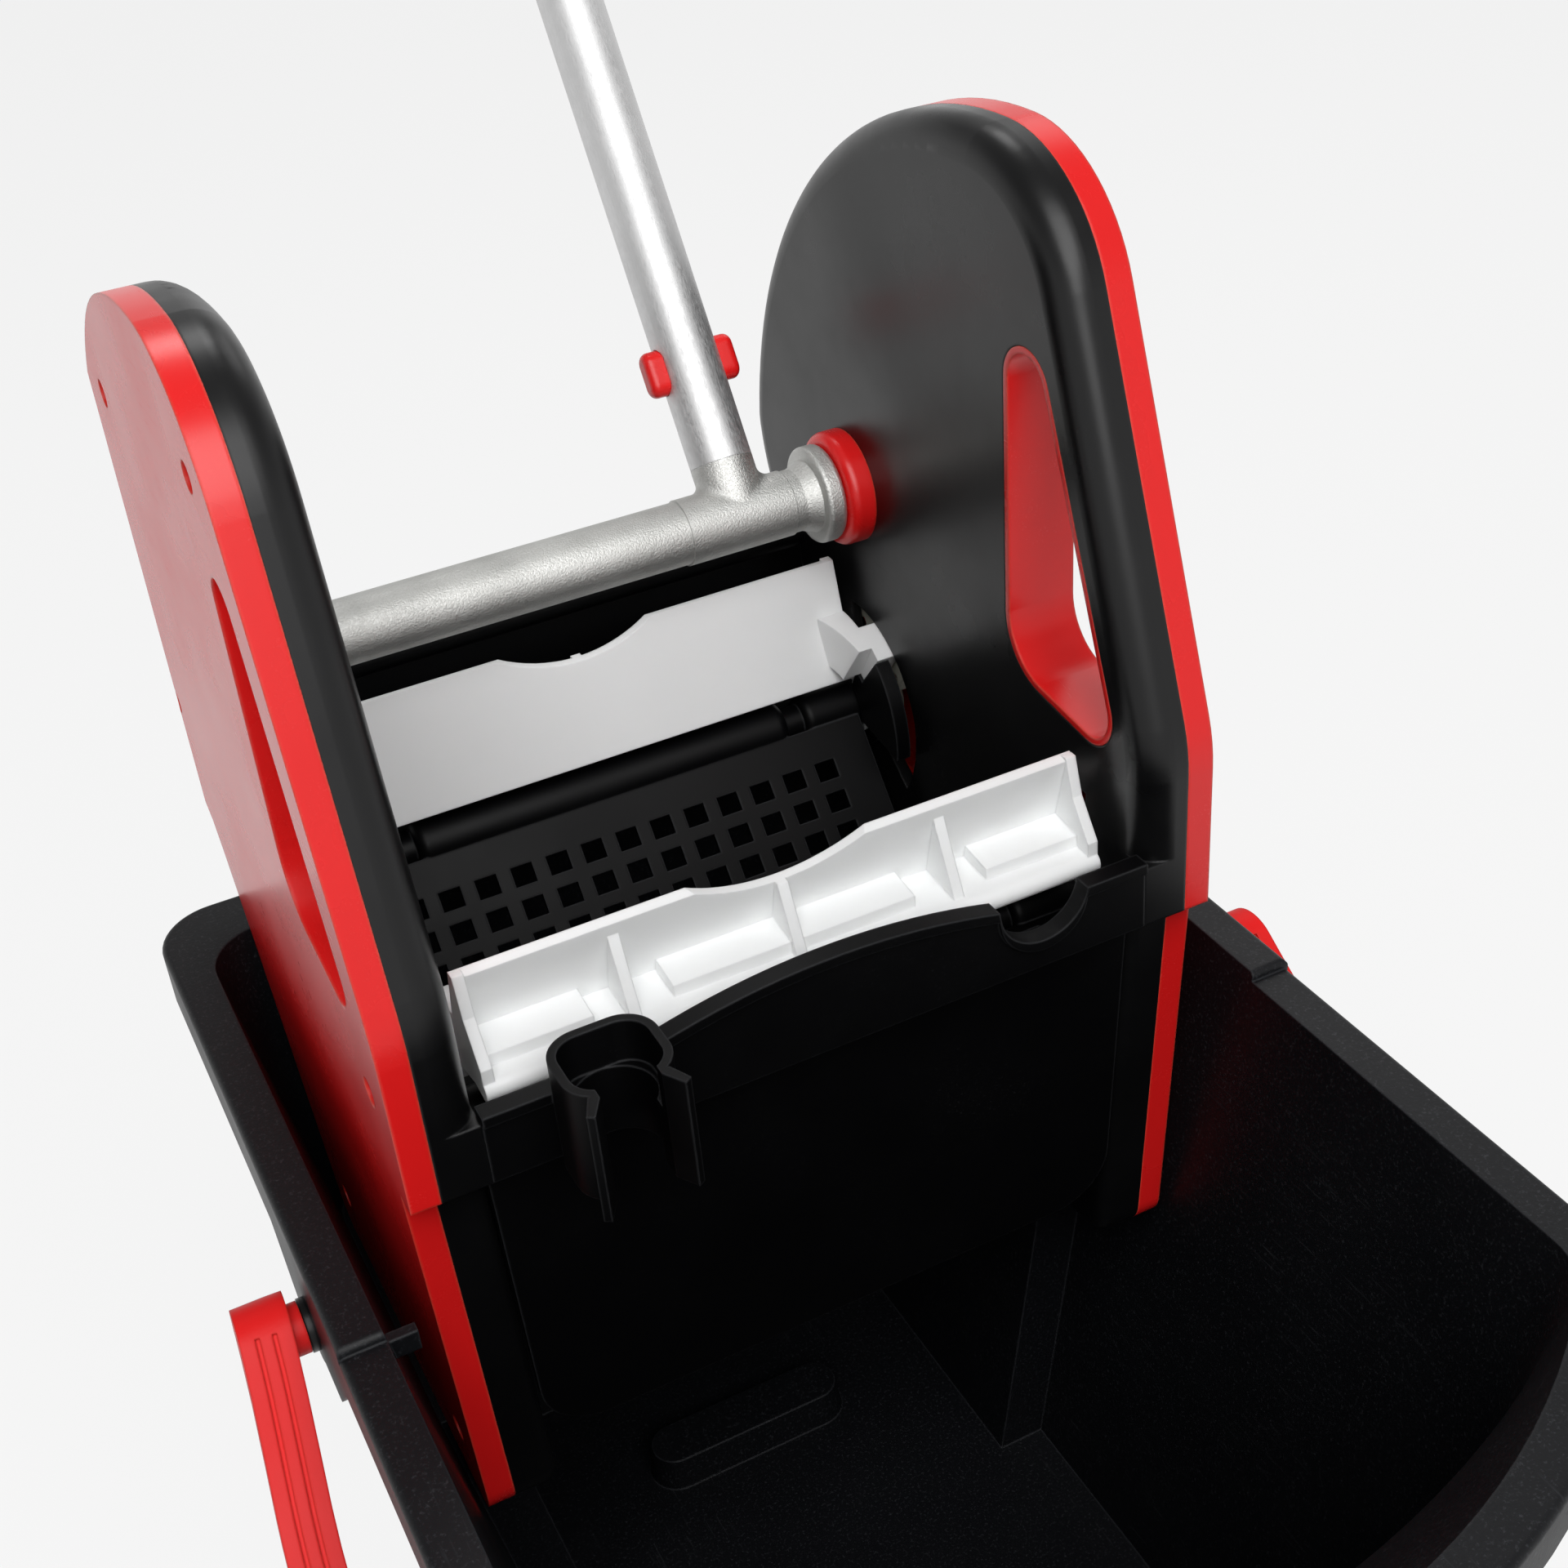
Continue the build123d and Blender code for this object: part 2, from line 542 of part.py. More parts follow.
def gear(center, teeth, phase, sector=None):
    """Spur gear at a centre, with straight-sided teeth inside the involute; sector keeps part of the rim."""
    pitch = teeth * MODULE / 2
    base = pitch * cos(radians(PRESSURE))
    root = pitch - 1.2 * MODULE
    tip = pitch + 0.92 * MODULE

    def half_angle(radius):
        lean = acos(min(1.0, base / radius))
        at_pitch = radians(PRESSURE)
        thick = (pi / 2 * MODULE - BACKLASH) / (2 * pitch)
        return thick + (tan(at_pitch) - at_pitch) - (tan(lean) - lean)

    points = []
    for tooth in range(teeth):
        middle = phase + tooth * 2 * pi / teeth
        flank = half_angle(max(base, root))
        land = half_angle(tip)
        for radius, angle in ((root, -flank), (tip, -land), (tip, land), (root, flank)):
            points.append((radius * cos(middle + angle), radius * sin(middle + angle)))
    face = polygon(*points)
    if sector:
        fan = [(0.0, 0.0)]
        for step in range(7):
            angle = radians(sector[0] + (sector[1] - sector[0]) * step / 6)
            fan.append((2 * tip * cos(angle), 2 * tip * sin(angle)))
        face = (face & polygon(*fan)) + Circle(root * 0.72)
    return slab(Pos(center[0], center[1]) * face, GEAR_X, GEAR_X + GEAR_THICK)


def make_gears():
    """The right-hand gear train, in mesh at rest, as name to solid."""
    lever_phase = radians(90)
    first_phase = mesh_phase(LEVER_AXIS, LEVER_TEETH, lever_phase, FIRST_IDLER, FIRST_IDLER_TEETH)
    rear_phase = mesh_phase(FIRST_IDLER, FIRST_IDLER_TEETH, first_phase, REAR_PIVOT, JAW_TEETH)
    second_phase = mesh_phase(FIRST_IDLER, FIRST_IDLER_TEETH, first_phase, SECOND_IDLER, SECOND_IDLER_TEETH)
    front_phase = mesh_phase(SECOND_IDLER, SECOND_IDLER_TEETH, second_phase, FRONT_PIVOT, JAW_TEETH)
    contact = degrees(atan2(FIRST_IDLER[1] - REAR_PIVOT[1], FIRST_IDLER[0] - REAR_PIVOT[0]))
    sector = (contact - JAW_TRAVEL - 16, contact + 16)
    key = Rectangle(KEY + FIT, KEY + FIT)
    gears = {
        "lever_gear": gear(LEVER_AXIS, LEVER_TEETH, lever_phase),
        "rear_jaw_gear": gear(REAR_PIVOT, JAW_TEETH, rear_phase, sector),
        "front_jaw_gear": gear(FRONT_PIVOT, JAW_TEETH, front_phase),
        "first_idler_gear": gear(FIRST_IDLER, FIRST_IDLER_TEETH, first_phase),
        "second_idler_gear": gear(SECOND_IDLER, SECOND_IDLER_TEETH, second_phase),
    }
    holes = {"lever_gear": LEVER_AXIS, "rear_jaw_gear": REAR_PIVOT, "front_jaw_gear": FRONT_PIVOT}
    for name, center in holes.items():
        gears[name] -= slab(Pos(center[0], center[1]) * key, GEAR_X, GEAR_X + GEAR_THICK)
    for name, center, teeth in (("first_idler_gear", FIRST_IDLER, FIRST_IDLER_TEETH),
                                ("second_idler_gear", SECOND_IDLER, SECOND_IDLER_TEETH)):
        gears[name] -= disc(center, IDLER_PIN_R + RUN, GEAR_X, GEAR_X + GEAR_THICK)
        rim = teeth * MODULE / 2 - 3 * MODULE
        web = Circle(rim) - Circle(IDLER_BOSS_R + 2)
        sunk = slab(Pos(center[0], center[1]) * web, GEAR_X + GEAR_THICK - 2, GEAR_X + GEAR_THICK)
        gears[name] -= sunk
    return gears


def make_shell():
    """Right-hand inner shell: big rounded inner edge, gear pocket, slots for the jaws and the hand."""
    upper = slab(housing_outline(), INNER_X, JOINT_X)
    upper = fillet(upper.faces().sort_by(Axis.X)[0].edges(), SHELL_ROUND)
    body = upper + leg(INNER_X, JOINT_X, LEG_ROUND)
    body += block((INNER_X, FRONT_Y, OVERHANG_Z), (JOINT_X, FRONT_Y + SHELL_ROUND + 2, CREASE_Z))
    root_front = LEG_FRONT_Y + LEG_ROUND
    root_rear = leg_rear(OVERHANG_Z) - LEG_ROUND
    root_top = OVERHANG_Z + SHELL_ROUND + 2
    body += block((INNER_X, root_front, OVERHANG_Z), (JOINT_X, root_rear, root_top))
    body -= slab(pocket(), INNER_X + SHELL_WALL, JOINT_X)
    body += slab(hand_slot(SLOT_LINER + FIT + 2), INNER_X, JOINT_X)
    body -= slab(hand_slot(SLOT_LINER + FIT), INNER_X, JOINT_X)
    for pivot, side in ((REAR_PIVOT, -1), (FRONT_PIVOT, 1)):
        body -= slab(arc_slot(pivot, side), INNER_X - LEG_IN, GEAR_X)
        body -= disc(pivot, PIVOT_R + RUN, INNER_X - LEG_IN, GEAR_X)
    body -= disc(LEVER_AXIS, BUSH_SLEEVE_R + FIT, INNER_X, GEAR_X)
    for center in (FIRST_IDLER, SECOND_IDLER):
        body += disc(center, IDLER_BOSS_R, INNER_X + SHELL_WALL, GEAR_X - SEAT_GAP)
        body -= disc(center, IDLER_PIN_R, INNER_X + 1, GEAR_X)
    for place in SCREWS:
        if place[1] > OVERHANG_Z:
            body += disc(place, SCREW_BOSS_R, INNER_X + SHELL_WALL, JOINT_X)
        body -= disc(place, SCREW_R, JOINT_X - SCREW_LONG, JOINT_X)
    return body


def make_cover():
    """Right-hand outer cover with the lining of the hand slot and wells for the screws."""
    upper = slab(housing_outline(), JOINT_X, OUTER_X)
    fall = (REAR_Y - CROWN_Y + 10) * tan(radians(CROWN_DEG))
    crown = polygon((OUTER_X, CROWN_Y), (OUTER_X + 5, CROWN_Y), (OUTER_X + 5, REAR_Y + 10),
                    (OUTER_X - fall, REAR_Y + 10))
    upper -= extrude(Pos(0, 0, OVERHANG_Z) * crown, amount=APEX_Z - OVERHANG_Z + 10)
    body = upper + leg(JOINT_X, OUTER_X, 0)
    body -= slab(pocket(), JOINT_X - LEG_IN, POCKET_X)
    liner = slab(hand_slot(SLOT_LINER), INNER_X, OUTER_X)
    body += liner
    body -= slab(hand_slot(0), INNER_X, OUTER_X)
    for center in (FIRST_IDLER, SECOND_IDLER):
        body += disc(center, IDLER_BOSS_R, GEAR_X + GEAR_THICK + SEAT_GAP, POCKET_X)
        body -= disc(center, IDLER_PIN_R, GEAR_X + GEAR_THICK, POCKET_X - 1)
    for place in SCREWS:
        lean = leg_shift(place[1])
        if place[1] > OVERHANG_Z:
            body += disc(place, SCREW_WELL_R + 2, JOINT_X, OUTER_X - 2)
        body -= disc(place, SCREW_R + FIT, JOINT_X - LEG_IN, OUTER_X)
        body -= disc(place, SCREW_WELL_R, OUTER_X - lean - SCREW_WELL, OUTER_X + 1)
    return body


def leg_shift(z):
    """How far a leg has leaned in at a height."""
    return max(0.0, OVERHANG_Z - z) / LEG_DEPTH * LEG_IN


def make_screws():
    """Cover screws on both sides, one solid each."""
    group = []
    for place in SCREWS:
        seat = OUTER_X - leg_shift(place[1]) - SCREW_WELL
        screw = disc(place, SCREW_HEAD_R, seat, seat + SCREW_HEAD)
        screw += disc(place, SCREW_R - 0.02, JOINT_X - SCREW_LONG + 1, seat)
        recess = RegularPolygon(SCREW_HEAD_R * 0.55, 6)
        screw -= slab(Pos(place[0], place[1]) * recess, seat + SCREW_HEAD - 1.6, seat + SCREW_HEAD)
        group += [screw, mirror(screw, about=Plane.YZ)]
    return Part() + group


def make_idler_pins():
    """Four plain pins that carry the idler gears."""
    group = []
    for center in (FIRST_IDLER, SECOND_IDLER):
        pin = disc(center, IDLER_PIN_R, INNER_X + 1, POCKET_X - 1)
        group += [pin, mirror(pin, about=Plane.YZ)]
    return Part() + group


def make_bush():
    """Red bush on the right: a rounded ring outside the shell and a sleeve through it."""
    body = disc(LEVER_AXIS, BUSH_R, BUSH_X, INNER_X)
    body = fillet(body.faces().sort_by(Axis.X)[0].edges(), 4)
    body += disc(LEVER_AXIS, BUSH_SLEEVE_R, INNER_X, GEAR_X - SEAT_GAP)
    return body - disc(LEVER_AXIS, JOURNAL_R + RUN, BUSH_X, GEAR_X)


def lever_plane(distance):
    """Plane square to the lever at a distance from the shaft axis."""
    lean = radians(LEVER_LEAN)
    along = Vector(0, sin(lean), cos(lean))
    return Plane(Vector(LEVER_X, LEVER_Y, LEVER_Z) + along * distance, x_dir=(1, 0, 0), z_dir=along)


def make_shaft():
    """Cast cross shaft with end flanges, journals, square gear ends and the lever's socket."""
    shaft = disc(LEVER_AXIS, TUBE_R, -FLANGE_X, FLANGE_X)
    ends = disc(LEVER_AXIS, FLANGE_R, FLANGE_X, FLANGE_X + FLANGE_THICK)
    ends = fillet(ends.edges().filter_by(GeomType.CIRCLE), 2)
    cone = loft([yz(FLANGE_X - 6) * (Pos(LEVER_Y, LEVER_Z) * Circle(TUBE_R)),
                 yz(FLANGE_X + 2) * (Pos(LEVER_Y, LEVER_Z) * Circle(FLANGE_R - 4))])
    ends += cone
    ends += disc(LEVER_AXIS, JOURNAL_R, FLANGE_X + FLANGE_THICK - 1, GEAR_X - SEAT_GAP)
    square = Pos(LEVER_Y, LEVER_Z) * Rectangle(KEY, KEY)
    ends += slab(square, GEAR_X - SEAT_GAP, GEAR_X + GEAR_THICK)
    shaft += both_sides(ends)
    socket = extrude(lever_plane(0) * Circle(TUBE_R), amount=SPLIT)
    spigot = extrude(lever_plane(SPLIT) * Circle(TUBE_R - TUBE_WALL - FIT), amount=SPIGOT)
    shaft += socket + spigot
    shaft -= extrude(lever_plane(BUTTON_AT - 14) * Circle(TUBE_R - TUBE_WALL - FIT - 3), amount=SPIGOT)
    shaft += disc(LEVER_AXIS, TUBE_R + 0.6, LEVER_X - 2 * TUBE_R, LEVER_X + 1.6 * TUBE_R)
    saddle = [e for e in shaft.edges() if e.geom_type not in (GeomType.LINE, GeomType.CIRCLE)
              and abs(e.center().X - LEVER_X) < TUBE_R and abs(e.center().Z - LEVER_Z) < 2 * TUBE_R]
    shaft = fillet(saddle, SADDLE_ROUND)
    return shaft - button_slots()


def make_lever_tube():
    """Straight aluminium tube with two holes for the snap buttons."""
    section = Circle(TUBE_R) - Circle(TUBE_R - TUBE_WALL)
    tube = extrude(lever_plane(SPLIT) * section, amount=LEVER_LONG - SPLIT)
    return tube - button_slots()


def make_grip():
    """Rounded hand grip over the top of the lever."""
    start = lever_plane(LEVER_LONG - GRIP_LONG + GRIP_CAP)
    swell = GRIP_LONG - GRIP_R
    profile = Line((0, 0), (GRIP_R - 1.5, 0))
    profile += ThreePointArc((GRIP_R - 1.5, 0), (GRIP_R + 0.8, swell / 2), (GRIP_R, swell))
    profile += RadiusArc((GRIP_R, swell), (0, GRIP_LONG), -GRIP_R)
    profile += Line((0, GRIP_LONG), (0, 0))
    body = revolve(make_face(Plane.XZ * profile), Axis.Z)
    body -= extrude(Circle(TUBE_R + RUN), amount=GRIP_LONG - GRIP_CAP)
    return start.location * body


def button_plane():
    """Plane through the lever's axis at the buttons, with +X as its normal and the lever along its own Y."""
    centre = lever_plane(BUTTON_AT)
    return Plane(centre.origin, x_dir=centre.y_dir, z_dir=(1, 0, 0))


def button_slots():
    """Slots through the lever for both snap buttons."""
    shape = RectangleRounded(BUTTON_WIDE + 2 * FIT, BUTTON_LONG + 2 * FIT, BUTTON_WIDE / 2 - 0.2)
    return extrude(button_plane() * shape, amount=2 * TUBE_R, both=True)


def make_button():
    """Right-hand snap button: a rounded tab through the tube's slot, with a flange that keeps it in."""
    start = button_plane().offset(BUTTON_IN)
    tab = RectangleRounded(BUTTON_WIDE, BUTTON_LONG, BUTTON_WIDE / 2 - 0.3)
    body = extrude(start * tab, amount=TUBE_R + BUTTON_PROUD - BUTTON_IN)
    body = fillet(body.faces().sort_by(Axis.X)[-1].edges(), 3)
    return body + extrude(start * RectangleRounded(BUTTON_WIDE - 3, BUTTON_LONG + 4, 3), amount=1.8)


def make_button_spring():
    """Bent leaf inside the spigot that pushes the two buttons apart."""
    centre = lever_plane(BUTTON_AT)
    way = Plane(centre.origin, x_dir=(1, 0, 0), z_dir=centre.y_dir)
    out = BUTTON_IN - 0.5
    leaf = Polyline((-out, 6), (-out, -6), (-2.2, -10), (2.2, -10), (out, -6), (out, 6))
    return extrude(way * trace(leaf, line_width=0.8), amount=2.5, both=True)


def jaw_point(u, v, side):
    """Jaw coordinates to (Y, Z) about the origin; side +1 faces +Y."""
    return (side * u, v)


def make_jaw(pivot, side):
    """White pressing jaw: a leaning plate with a notched top, a stiffening shelf, gussets and pivots."""
    low_u, low_v = JAW_FACE_LOW
    top_u, top_v = JAW_FACE_TOP
    lean = atan2(low_u - top_u, top_v - low_v)
    back = (-JAW_THICK * cos(lean), -JAW_THICK * sin(lean))
    plate = [(low_u, low_v), (top_u, top_v), (top_u + back[0], top_v + back[1]),
             (low_u + back[0], low_v + back[1])]
    shelf_v = JAW_SHELF_V
    nose = JAW_THICK
    at_shelf = low_u + back[0] - (shelf_v - low_v) * tan(lean)
    shelf = [(at_shelf + 2, shelf_v + 2), (at_shelf + 3, shelf_v - 4), (nose - JAW_SHELF, shelf_v - 2 * nose),
             (nose - JAW_SHELF, shelf_v)]
    pad = [(at_shelf + 1, shelf_v), (at_shelf, shelf_v + JAW_PAD + 2),
           (2.2 * nose - JAW_SHELF, shelf_v + JAW_PAD), (2.2 * nose - JAW_SHELF, shelf_v - 2)]
    gusset = [(at_shelf + 1, shelf_v - 2), (top_u + back[0] + 2, top_v - 5), (nose - JAW_SHELF, shelf_v - 2)]
    end = [(low_u - 1, low_v + 4), (top_u - 1, top_v), (top_u + back[0], top_v),
           (top_u + back[0] - 4, top_v - 14), (nose - JAW_SHELF - 2, shelf_v + 5),
           (nose - JAW_SHELF - 2, shelf_v - nose)]
    half = JAW_HALF

    def face(points):
        return polygon(*[jaw_point(u, v, side) for u, v in points])

    bull = Pos(*jaw_point(nose - JAW_SHELF, shelf_v - nose, side)) * Circle(nose)
    body = slab(face(plate) + face(shelf) + bull, -half, half)
    for x in (-JAW_RIBS, 0, JAW_RIBS):
        body += slab(face(gusset), x - JAW_THICK / 2, x + JAW_THICK / 2)
    body += both_sides(slab(face(end), half - JAW_THICK, half))
    body += slab(face(pad), -JAW_PAD_HALF, JAW_PAD_HALF)
    body += both_sides(slab(face(pad), half - JAW_PAD_END, half))
    chord = JAW_NOTCH
    radius = (chord ** 2 + JAW_NOTCH_DEEP ** 2) / (2 * JAW_NOTCH_DEEP)
    notch = Pos(0, top_v - JAW_NOTCH_DEEP + radius) * Circle(radius)
    body -= extrude(Plane.XZ * notch, amount=2 * JAW_SHELF, both=True)

    def fan(first, last):
        turns = [radians(first + (last - first) * step / 2) for step in range(3)]
        return polygon((0, 0), *[jaw_point(2 * LUG_R * sin(turn), 2 * LUG_R * cos(turn), side) for turn in turns])

    sector = Circle(LUG_R) & fan(LUG_FROM, LUG_TO)
    web = slab((Circle(LUG_R) & fan(-3, LUG_TO - 8)) - Circle(LUG_INNER_R), half - LUG_WEB, half)
    web &= extrude(polygon((half - LUG_WEB, 0), (half, 0), (half, side * LUG_R)), amount=LUG_R)
    body += both_sides(web)
    cheek = slab(sector - Circle(RIDGE_R + PLATE_GAP), half, half - 1 + CHEEK_THICK)
    cheek += disc((0, 0), CHEEK_R, RIDGE_HALF + PLATE_GAP, half - 1 + CHEEK_THICK)
    lug = slab(sector - Circle(LUG_INNER_R), half, INNER_X + SHELL_WALL - 0.5)
    journal = disc((0, 0), PIVOT_R, RIDGE_HALF + PLATE_GAP, GEAR_X - SEAT_GAP)
    square = slab(Rectangle(KEY, KEY), GEAR_X - SEAT_GAP, GEAR_X + GEAR_THICK)
    body += both_sides(cheek + lug + journal + square)
    return Pos(0, pivot[0], pivot[1]) * body


def make_jaw_plates():
    """Black plates on the rear jaw's journals, keyed against its lugs: they close the slots in the shells."""
    turns = [radians(LUG_TO + 1 + (PLATE_TO - LUG_TO - 1) * step / 4) for step in range(5)]
    fan = [(-2 * PLATE_R * sin(turn), 2 * PLATE_R * cos(turn)) for turn in turns]
    flank = Circle(PLATE_R) & polygon((0, 0), *fan)
    cheek_end = JAW_HALF - 1 + CHEEK_THICK + PLATE_GAP
    wall = INNER_X - PLATE_IN
    inner = JAW_HALF - SKIN_IN
    plate = slab(flank - Circle(CHEEK_R + PLATE_GAP), inner, wall)
    first, last = radians(SKIN_FROM), radians(LUG_TO + 2)
    over = [(-2 * SKIN_R * sin(turn), 2 * SKIN_R * cos(turn)) for turn in (first, last)]
    skin = (Circle(SKIN_R) & polygon((0, 0), *over)) - Circle(CHEEK_R + PLATE_GAP)
    plate += slab(skin, inner, JAW_HALF - PLATE_GAP)
    plate += slab(flank + Circle(PLATE_BACK_R), cheek_end, wall)
    plate -= disc((0, 0), PIVOT_R + RUN, cheek_end, wall)
    plate = Pos(0, REAR_PIVOT[0], REAR_PIVOT[1]) * plate
    return Part() + [plate, mirror(plate, about=Plane.YZ)]


def roll(pivot):
    """Hollow roll along a jaw's pivot, open below, with a waist near each end."""
    middle = disc(pivot, RIDGE_R, -WAIST_FROM, WAIST_FROM)
    middle = fillet(middle.edges().filter_by(GeomType.CIRCLE), RIDGE_R - WAIST_R)
    end = disc(pivot, RIDGE_END_R, WAIST_TO, RIDGE_HALF)
    end = fillet(end.faces().sort_by(Axis.X)[0].edges(), RIDGE_END_R - WAIST_R)
    body = middle + disc(pivot, WAIST_R, -RIDGE_HALF, RIDGE_HALF) + both_sides(end)
    reach = WAIST_FROM - 5
    core = disc(pivot, RIDGE_R - BASKET_WALL, -reach, reach)
    core += block((-reach, pivot[0] - 5, pivot[1] - 2 * RIDGE_R), (reach, pivot[0] + 5, pivot[1]))
    return body - core


def perforations(place, rows, columns):
    """Grid of square drain holes through a wall, on a plane that lies in the wall."""
    grid = GridLocations(HOLE_PITCH_X, HOLE_PITCH, columns, rows)
    holes = Sketch() + [spot * Rectangle(HOLE_WIDE, HOLE_HIGH) for spot in grid]
    return extrude(place * holes, amount=2 * BASKET_WALL, both=True)


def make_basket():
    """Trough with perforated walls between two rolls, with a ledge in front and one behind."""
    drop = radians(TROUGH_DROP)
    middle = (REAR_PIVOT[0] + FRONT_PIVOT[0]) / 2
    length = (JAW_SPAN / 2 - RIDGE_R) / cos(drop)
    ridge_z = REAR_PIVOT[1]
    bottom_z = ridge_z - length * sin(drop)
    rear_start = (REAR_PIVOT[0] - RIDGE_R + 1.5, ridge_z)
    front_start = (FRONT_PIVOT[0] + RIDGE_R - 1.5, ridge_z)
    path = Polyline(rear_start, (middle + 4, bottom_z), (middle - 4, bottom_z), front_start)
    body = slab(trace(path, line_width=BASKET_WALL), -TROUGH_HALF, TROUGH_HALF)
    for start, sign in ((rear_start, 1), (front_start, -1)):
        mid_y = (start[0] + middle + 4 * sign) / 2
        mid_z = (ridge_z + bottom_z) / 2 + 6
        mid_y += sign * 6 / tan(drop)
        normal = (0, -sign * sin(drop), cos(drop))
        wall_plane = Plane((0, mid_y, mid_z), x_dir=(1, 0, 0), z_dir=normal)
        body -= perforations(wall_plane, HOLE_ROWS, HOLE_COLUMNS)
    for pivot in (REAR_PIVOT, FRONT_PIVOT):
        body += roll(pivot)
    clear = PLATE_BACK_R + 2
    skirt_y = LEG_FRONT_Y + APRON_THICK + 3 * FIT
    front_ledge = Polyline((FRONT_PIVOT[0] - RIDGE_R + 1.5, ridge_z), (skirt_y, ridge_z + 5))
    rear_ledge = Polyline((REAR_PIVOT[0] + RIDGE_R - 1.5, ridge_z), (REAR_WALL_Y - FIT, ridge_z + 2))
    ledge_half = INNER_X - 1
    ledges = slab(trace(front_ledge, BASKET_WALL) + trace(rear_ledge, BASKET_WALL), -ledge_half, ledge_half)
    for pivot in (REAR_PIVOT, FRONT_PIVOT):
        ends = disc(pivot, clear, TROUGH_HALF, INNER_X) - disc(pivot, RIDGE_END_R, TROUGH_HALF, RIDGE_HALF)
        ledges -= both_sides(ends)
    ledge_y = (FRONT_PIVOT[0] - RIDGE_R + skirt_y) / 2
    ledge_mid = Plane((0, ledge_y, ridge_z + 2.5), x_dir=(1, 0, 0), z_dir=(0, 0, 1))
    ledges -= perforations(ledge_mid, 1, HOLE_COLUMNS)
    ends_at = block((-INNER_X, skirt_y, bottom_z - 20), (INNER_X, REAR_WALL_Y - FIT, ridge_z + 40))
    return (body + ledges) & ends_at


def make_rear_wall():
    """Wall behind the rear jaw, with a rounded top rail, rest ribs and a lip that hooks over the rim."""
    rib_top = REAR_PIVOT[1] - BASKET_WALL / 2 - FIT
    wall = block((-INNER_X, REAR_WALL_Y, HOOK_LOW), (INNER_X, REAR_WALL_Y + REAR_WALL_THICK, REAR_WALL_TOP))
    wall = fillet(wall.faces().sort_by(Axis.Z)[-1].edges().filter_by(Axis.X), 1.5)
    rail = disc((REAR_WALL_Y + 1, REAR_WALL_TOP - 6), 6, -INNER_X, INNER_X)
    wall += rail
    for x in REST_RIBS:
        wall += block((x - 1.5, RIM_REAR - RIM_WIDE_REAR + 3, REST_Z), (x + 1.5, REAR_WALL_Y + 1, rib_top))
    return wall


def make_front_wall():
    """Front wall: crowned top edge with a half-round pole rest and a bead, a leaning skirt, and the pole clip."""
    side = APRON_SIDE_Z
    shoulder = side + 3
    notch_from = NOTCH_X - NOTCH_R
    notch_to = NOTCH_X + NOTCH_R
    edge = Line((-INNER_X, OVERHANG_Z), (-INNER_X, side))
    edge += Line((-INNER_X, side), (-APRON_ARC - 3, side))
    edge += Line((-APRON_ARC - 3, side), (-APRON_ARC, shoulder))
    edge += ThreePointArc((-APRON_ARC, shoulder), (0, APRON_CROWN_Z), (APRON_ARC, shoulder))
    edge += Line((APRON_ARC, shoulder), (notch_from, side))
    edge += ThreePointArc((notch_from, side), (NOTCH_X, side - NOTCH_DEEP), (notch_to, side))
    edge += Line((notch_to, side), (INNER_X, side))
    edge += Line((INNER_X, side), (INNER_X, OVERHANG_Z))
    edge += Line((INNER_X, OVERHANG_Z), (-INNER_X, OVERHANG_Z))
    face = make_face(edge)
    front = -FRONT_Y
    wall = extrude(Plane.XZ.offset(front - APRON_THICK) * face, amount=APRON_THICK)
    band = face - Pos(0, -BEAD) * face
    bead_plane = Plane.XZ.offset(front - APRON_THICK - BEAD_PROUD)
    wall += extrude(bead_plane * band, amount=APRON_THICK + 2 * BEAD_PROUD)
    step_rear = LEG_FRONT_Y + APRON_THICK
    wall += block((-INNER_X, FRONT_Y, OVERHANG_Z), (INNER_X, step_rear, OVERHANG_Z + APRON_THICK))
    lean = atan2(LEG_BACK, LEG_DEPTH)
    deep = (OVERHANG_Z - APRON_LOW_Z) / cos(lean)
    low_half = INNER_X - LEG_IN * (OVERHANG_Z - APRON_LOW_Z) / LEG_DEPTH - FIT
    skirt = polygon((-INNER_X + FIT, 0), (INNER_X - FIT, 0), (low_half, -deep), (-low_half, -deep))
    skirt = fillet(skirt.vertices().group_by(Axis.Y)[0], APRON_CORNER)
    hang = Plane((0, LEG_FRONT_Y, OVERHANG_Z + 1), x_dir=(1, 0, 0), z_dir=(0, -cos(lean), -sin(lean)))
    wall += extrude(hang.offset(-APRON_THICK) * skirt, amount=APRON_THICK)
    clip, bore = pole_clip()
    return wall + clip - bore


def pole_clip():
    """Clip on the apron that grips a mop pole, with flared lips; gives the clip and the room inside it."""
    front = -CLIP_DEEP / 2
    half = CLIP_MOUTH / 2
    outer = RectangleRounded(CLIP_WIDE, CLIP_DEEP, CLIP_ROUND)
    flare = half + 0.6 * CLIP_LIP
    lip = polygon((half, front + CLIP_WALL), (half, front), (flare, front - CLIP_LIP),
                  (flare + CLIP_WALL - 0.6, front - CLIP_LIP + 1.5), (half + CLIP_WALL + 0.4, front + 1.5))
    mouth = Pos(0, front) * Rectangle(CLIP_MOUTH, CLIP_DEEP)
    thin = RectangleRounded(CLIP_WIDE - 2 * CLIP_WALL, CLIP_DEEP - 2 * CLIP_WALL, CLIP_ROUND - CLIP_WALL)
    low = Pos(CLIP_X, CLIP_Y, CLIP_LOW)
    step = Pos(CLIP_X, CLIP_Y, CLIP_STEP)
    clip = extrude(low * (outer + lip + mirror(lip, about=Plane.YZ)), amount=CLIP_TOP - CLIP_LOW)
    bore = extrude(low * (Circle(CLIP_BORE) + mouth), amount=CLIP_TOP - CLIP_LOW + 5)
    bore += extrude(step * (thin + mouth), amount=CLIP_TOP - CLIP_STEP + 5)
    return clip, bore


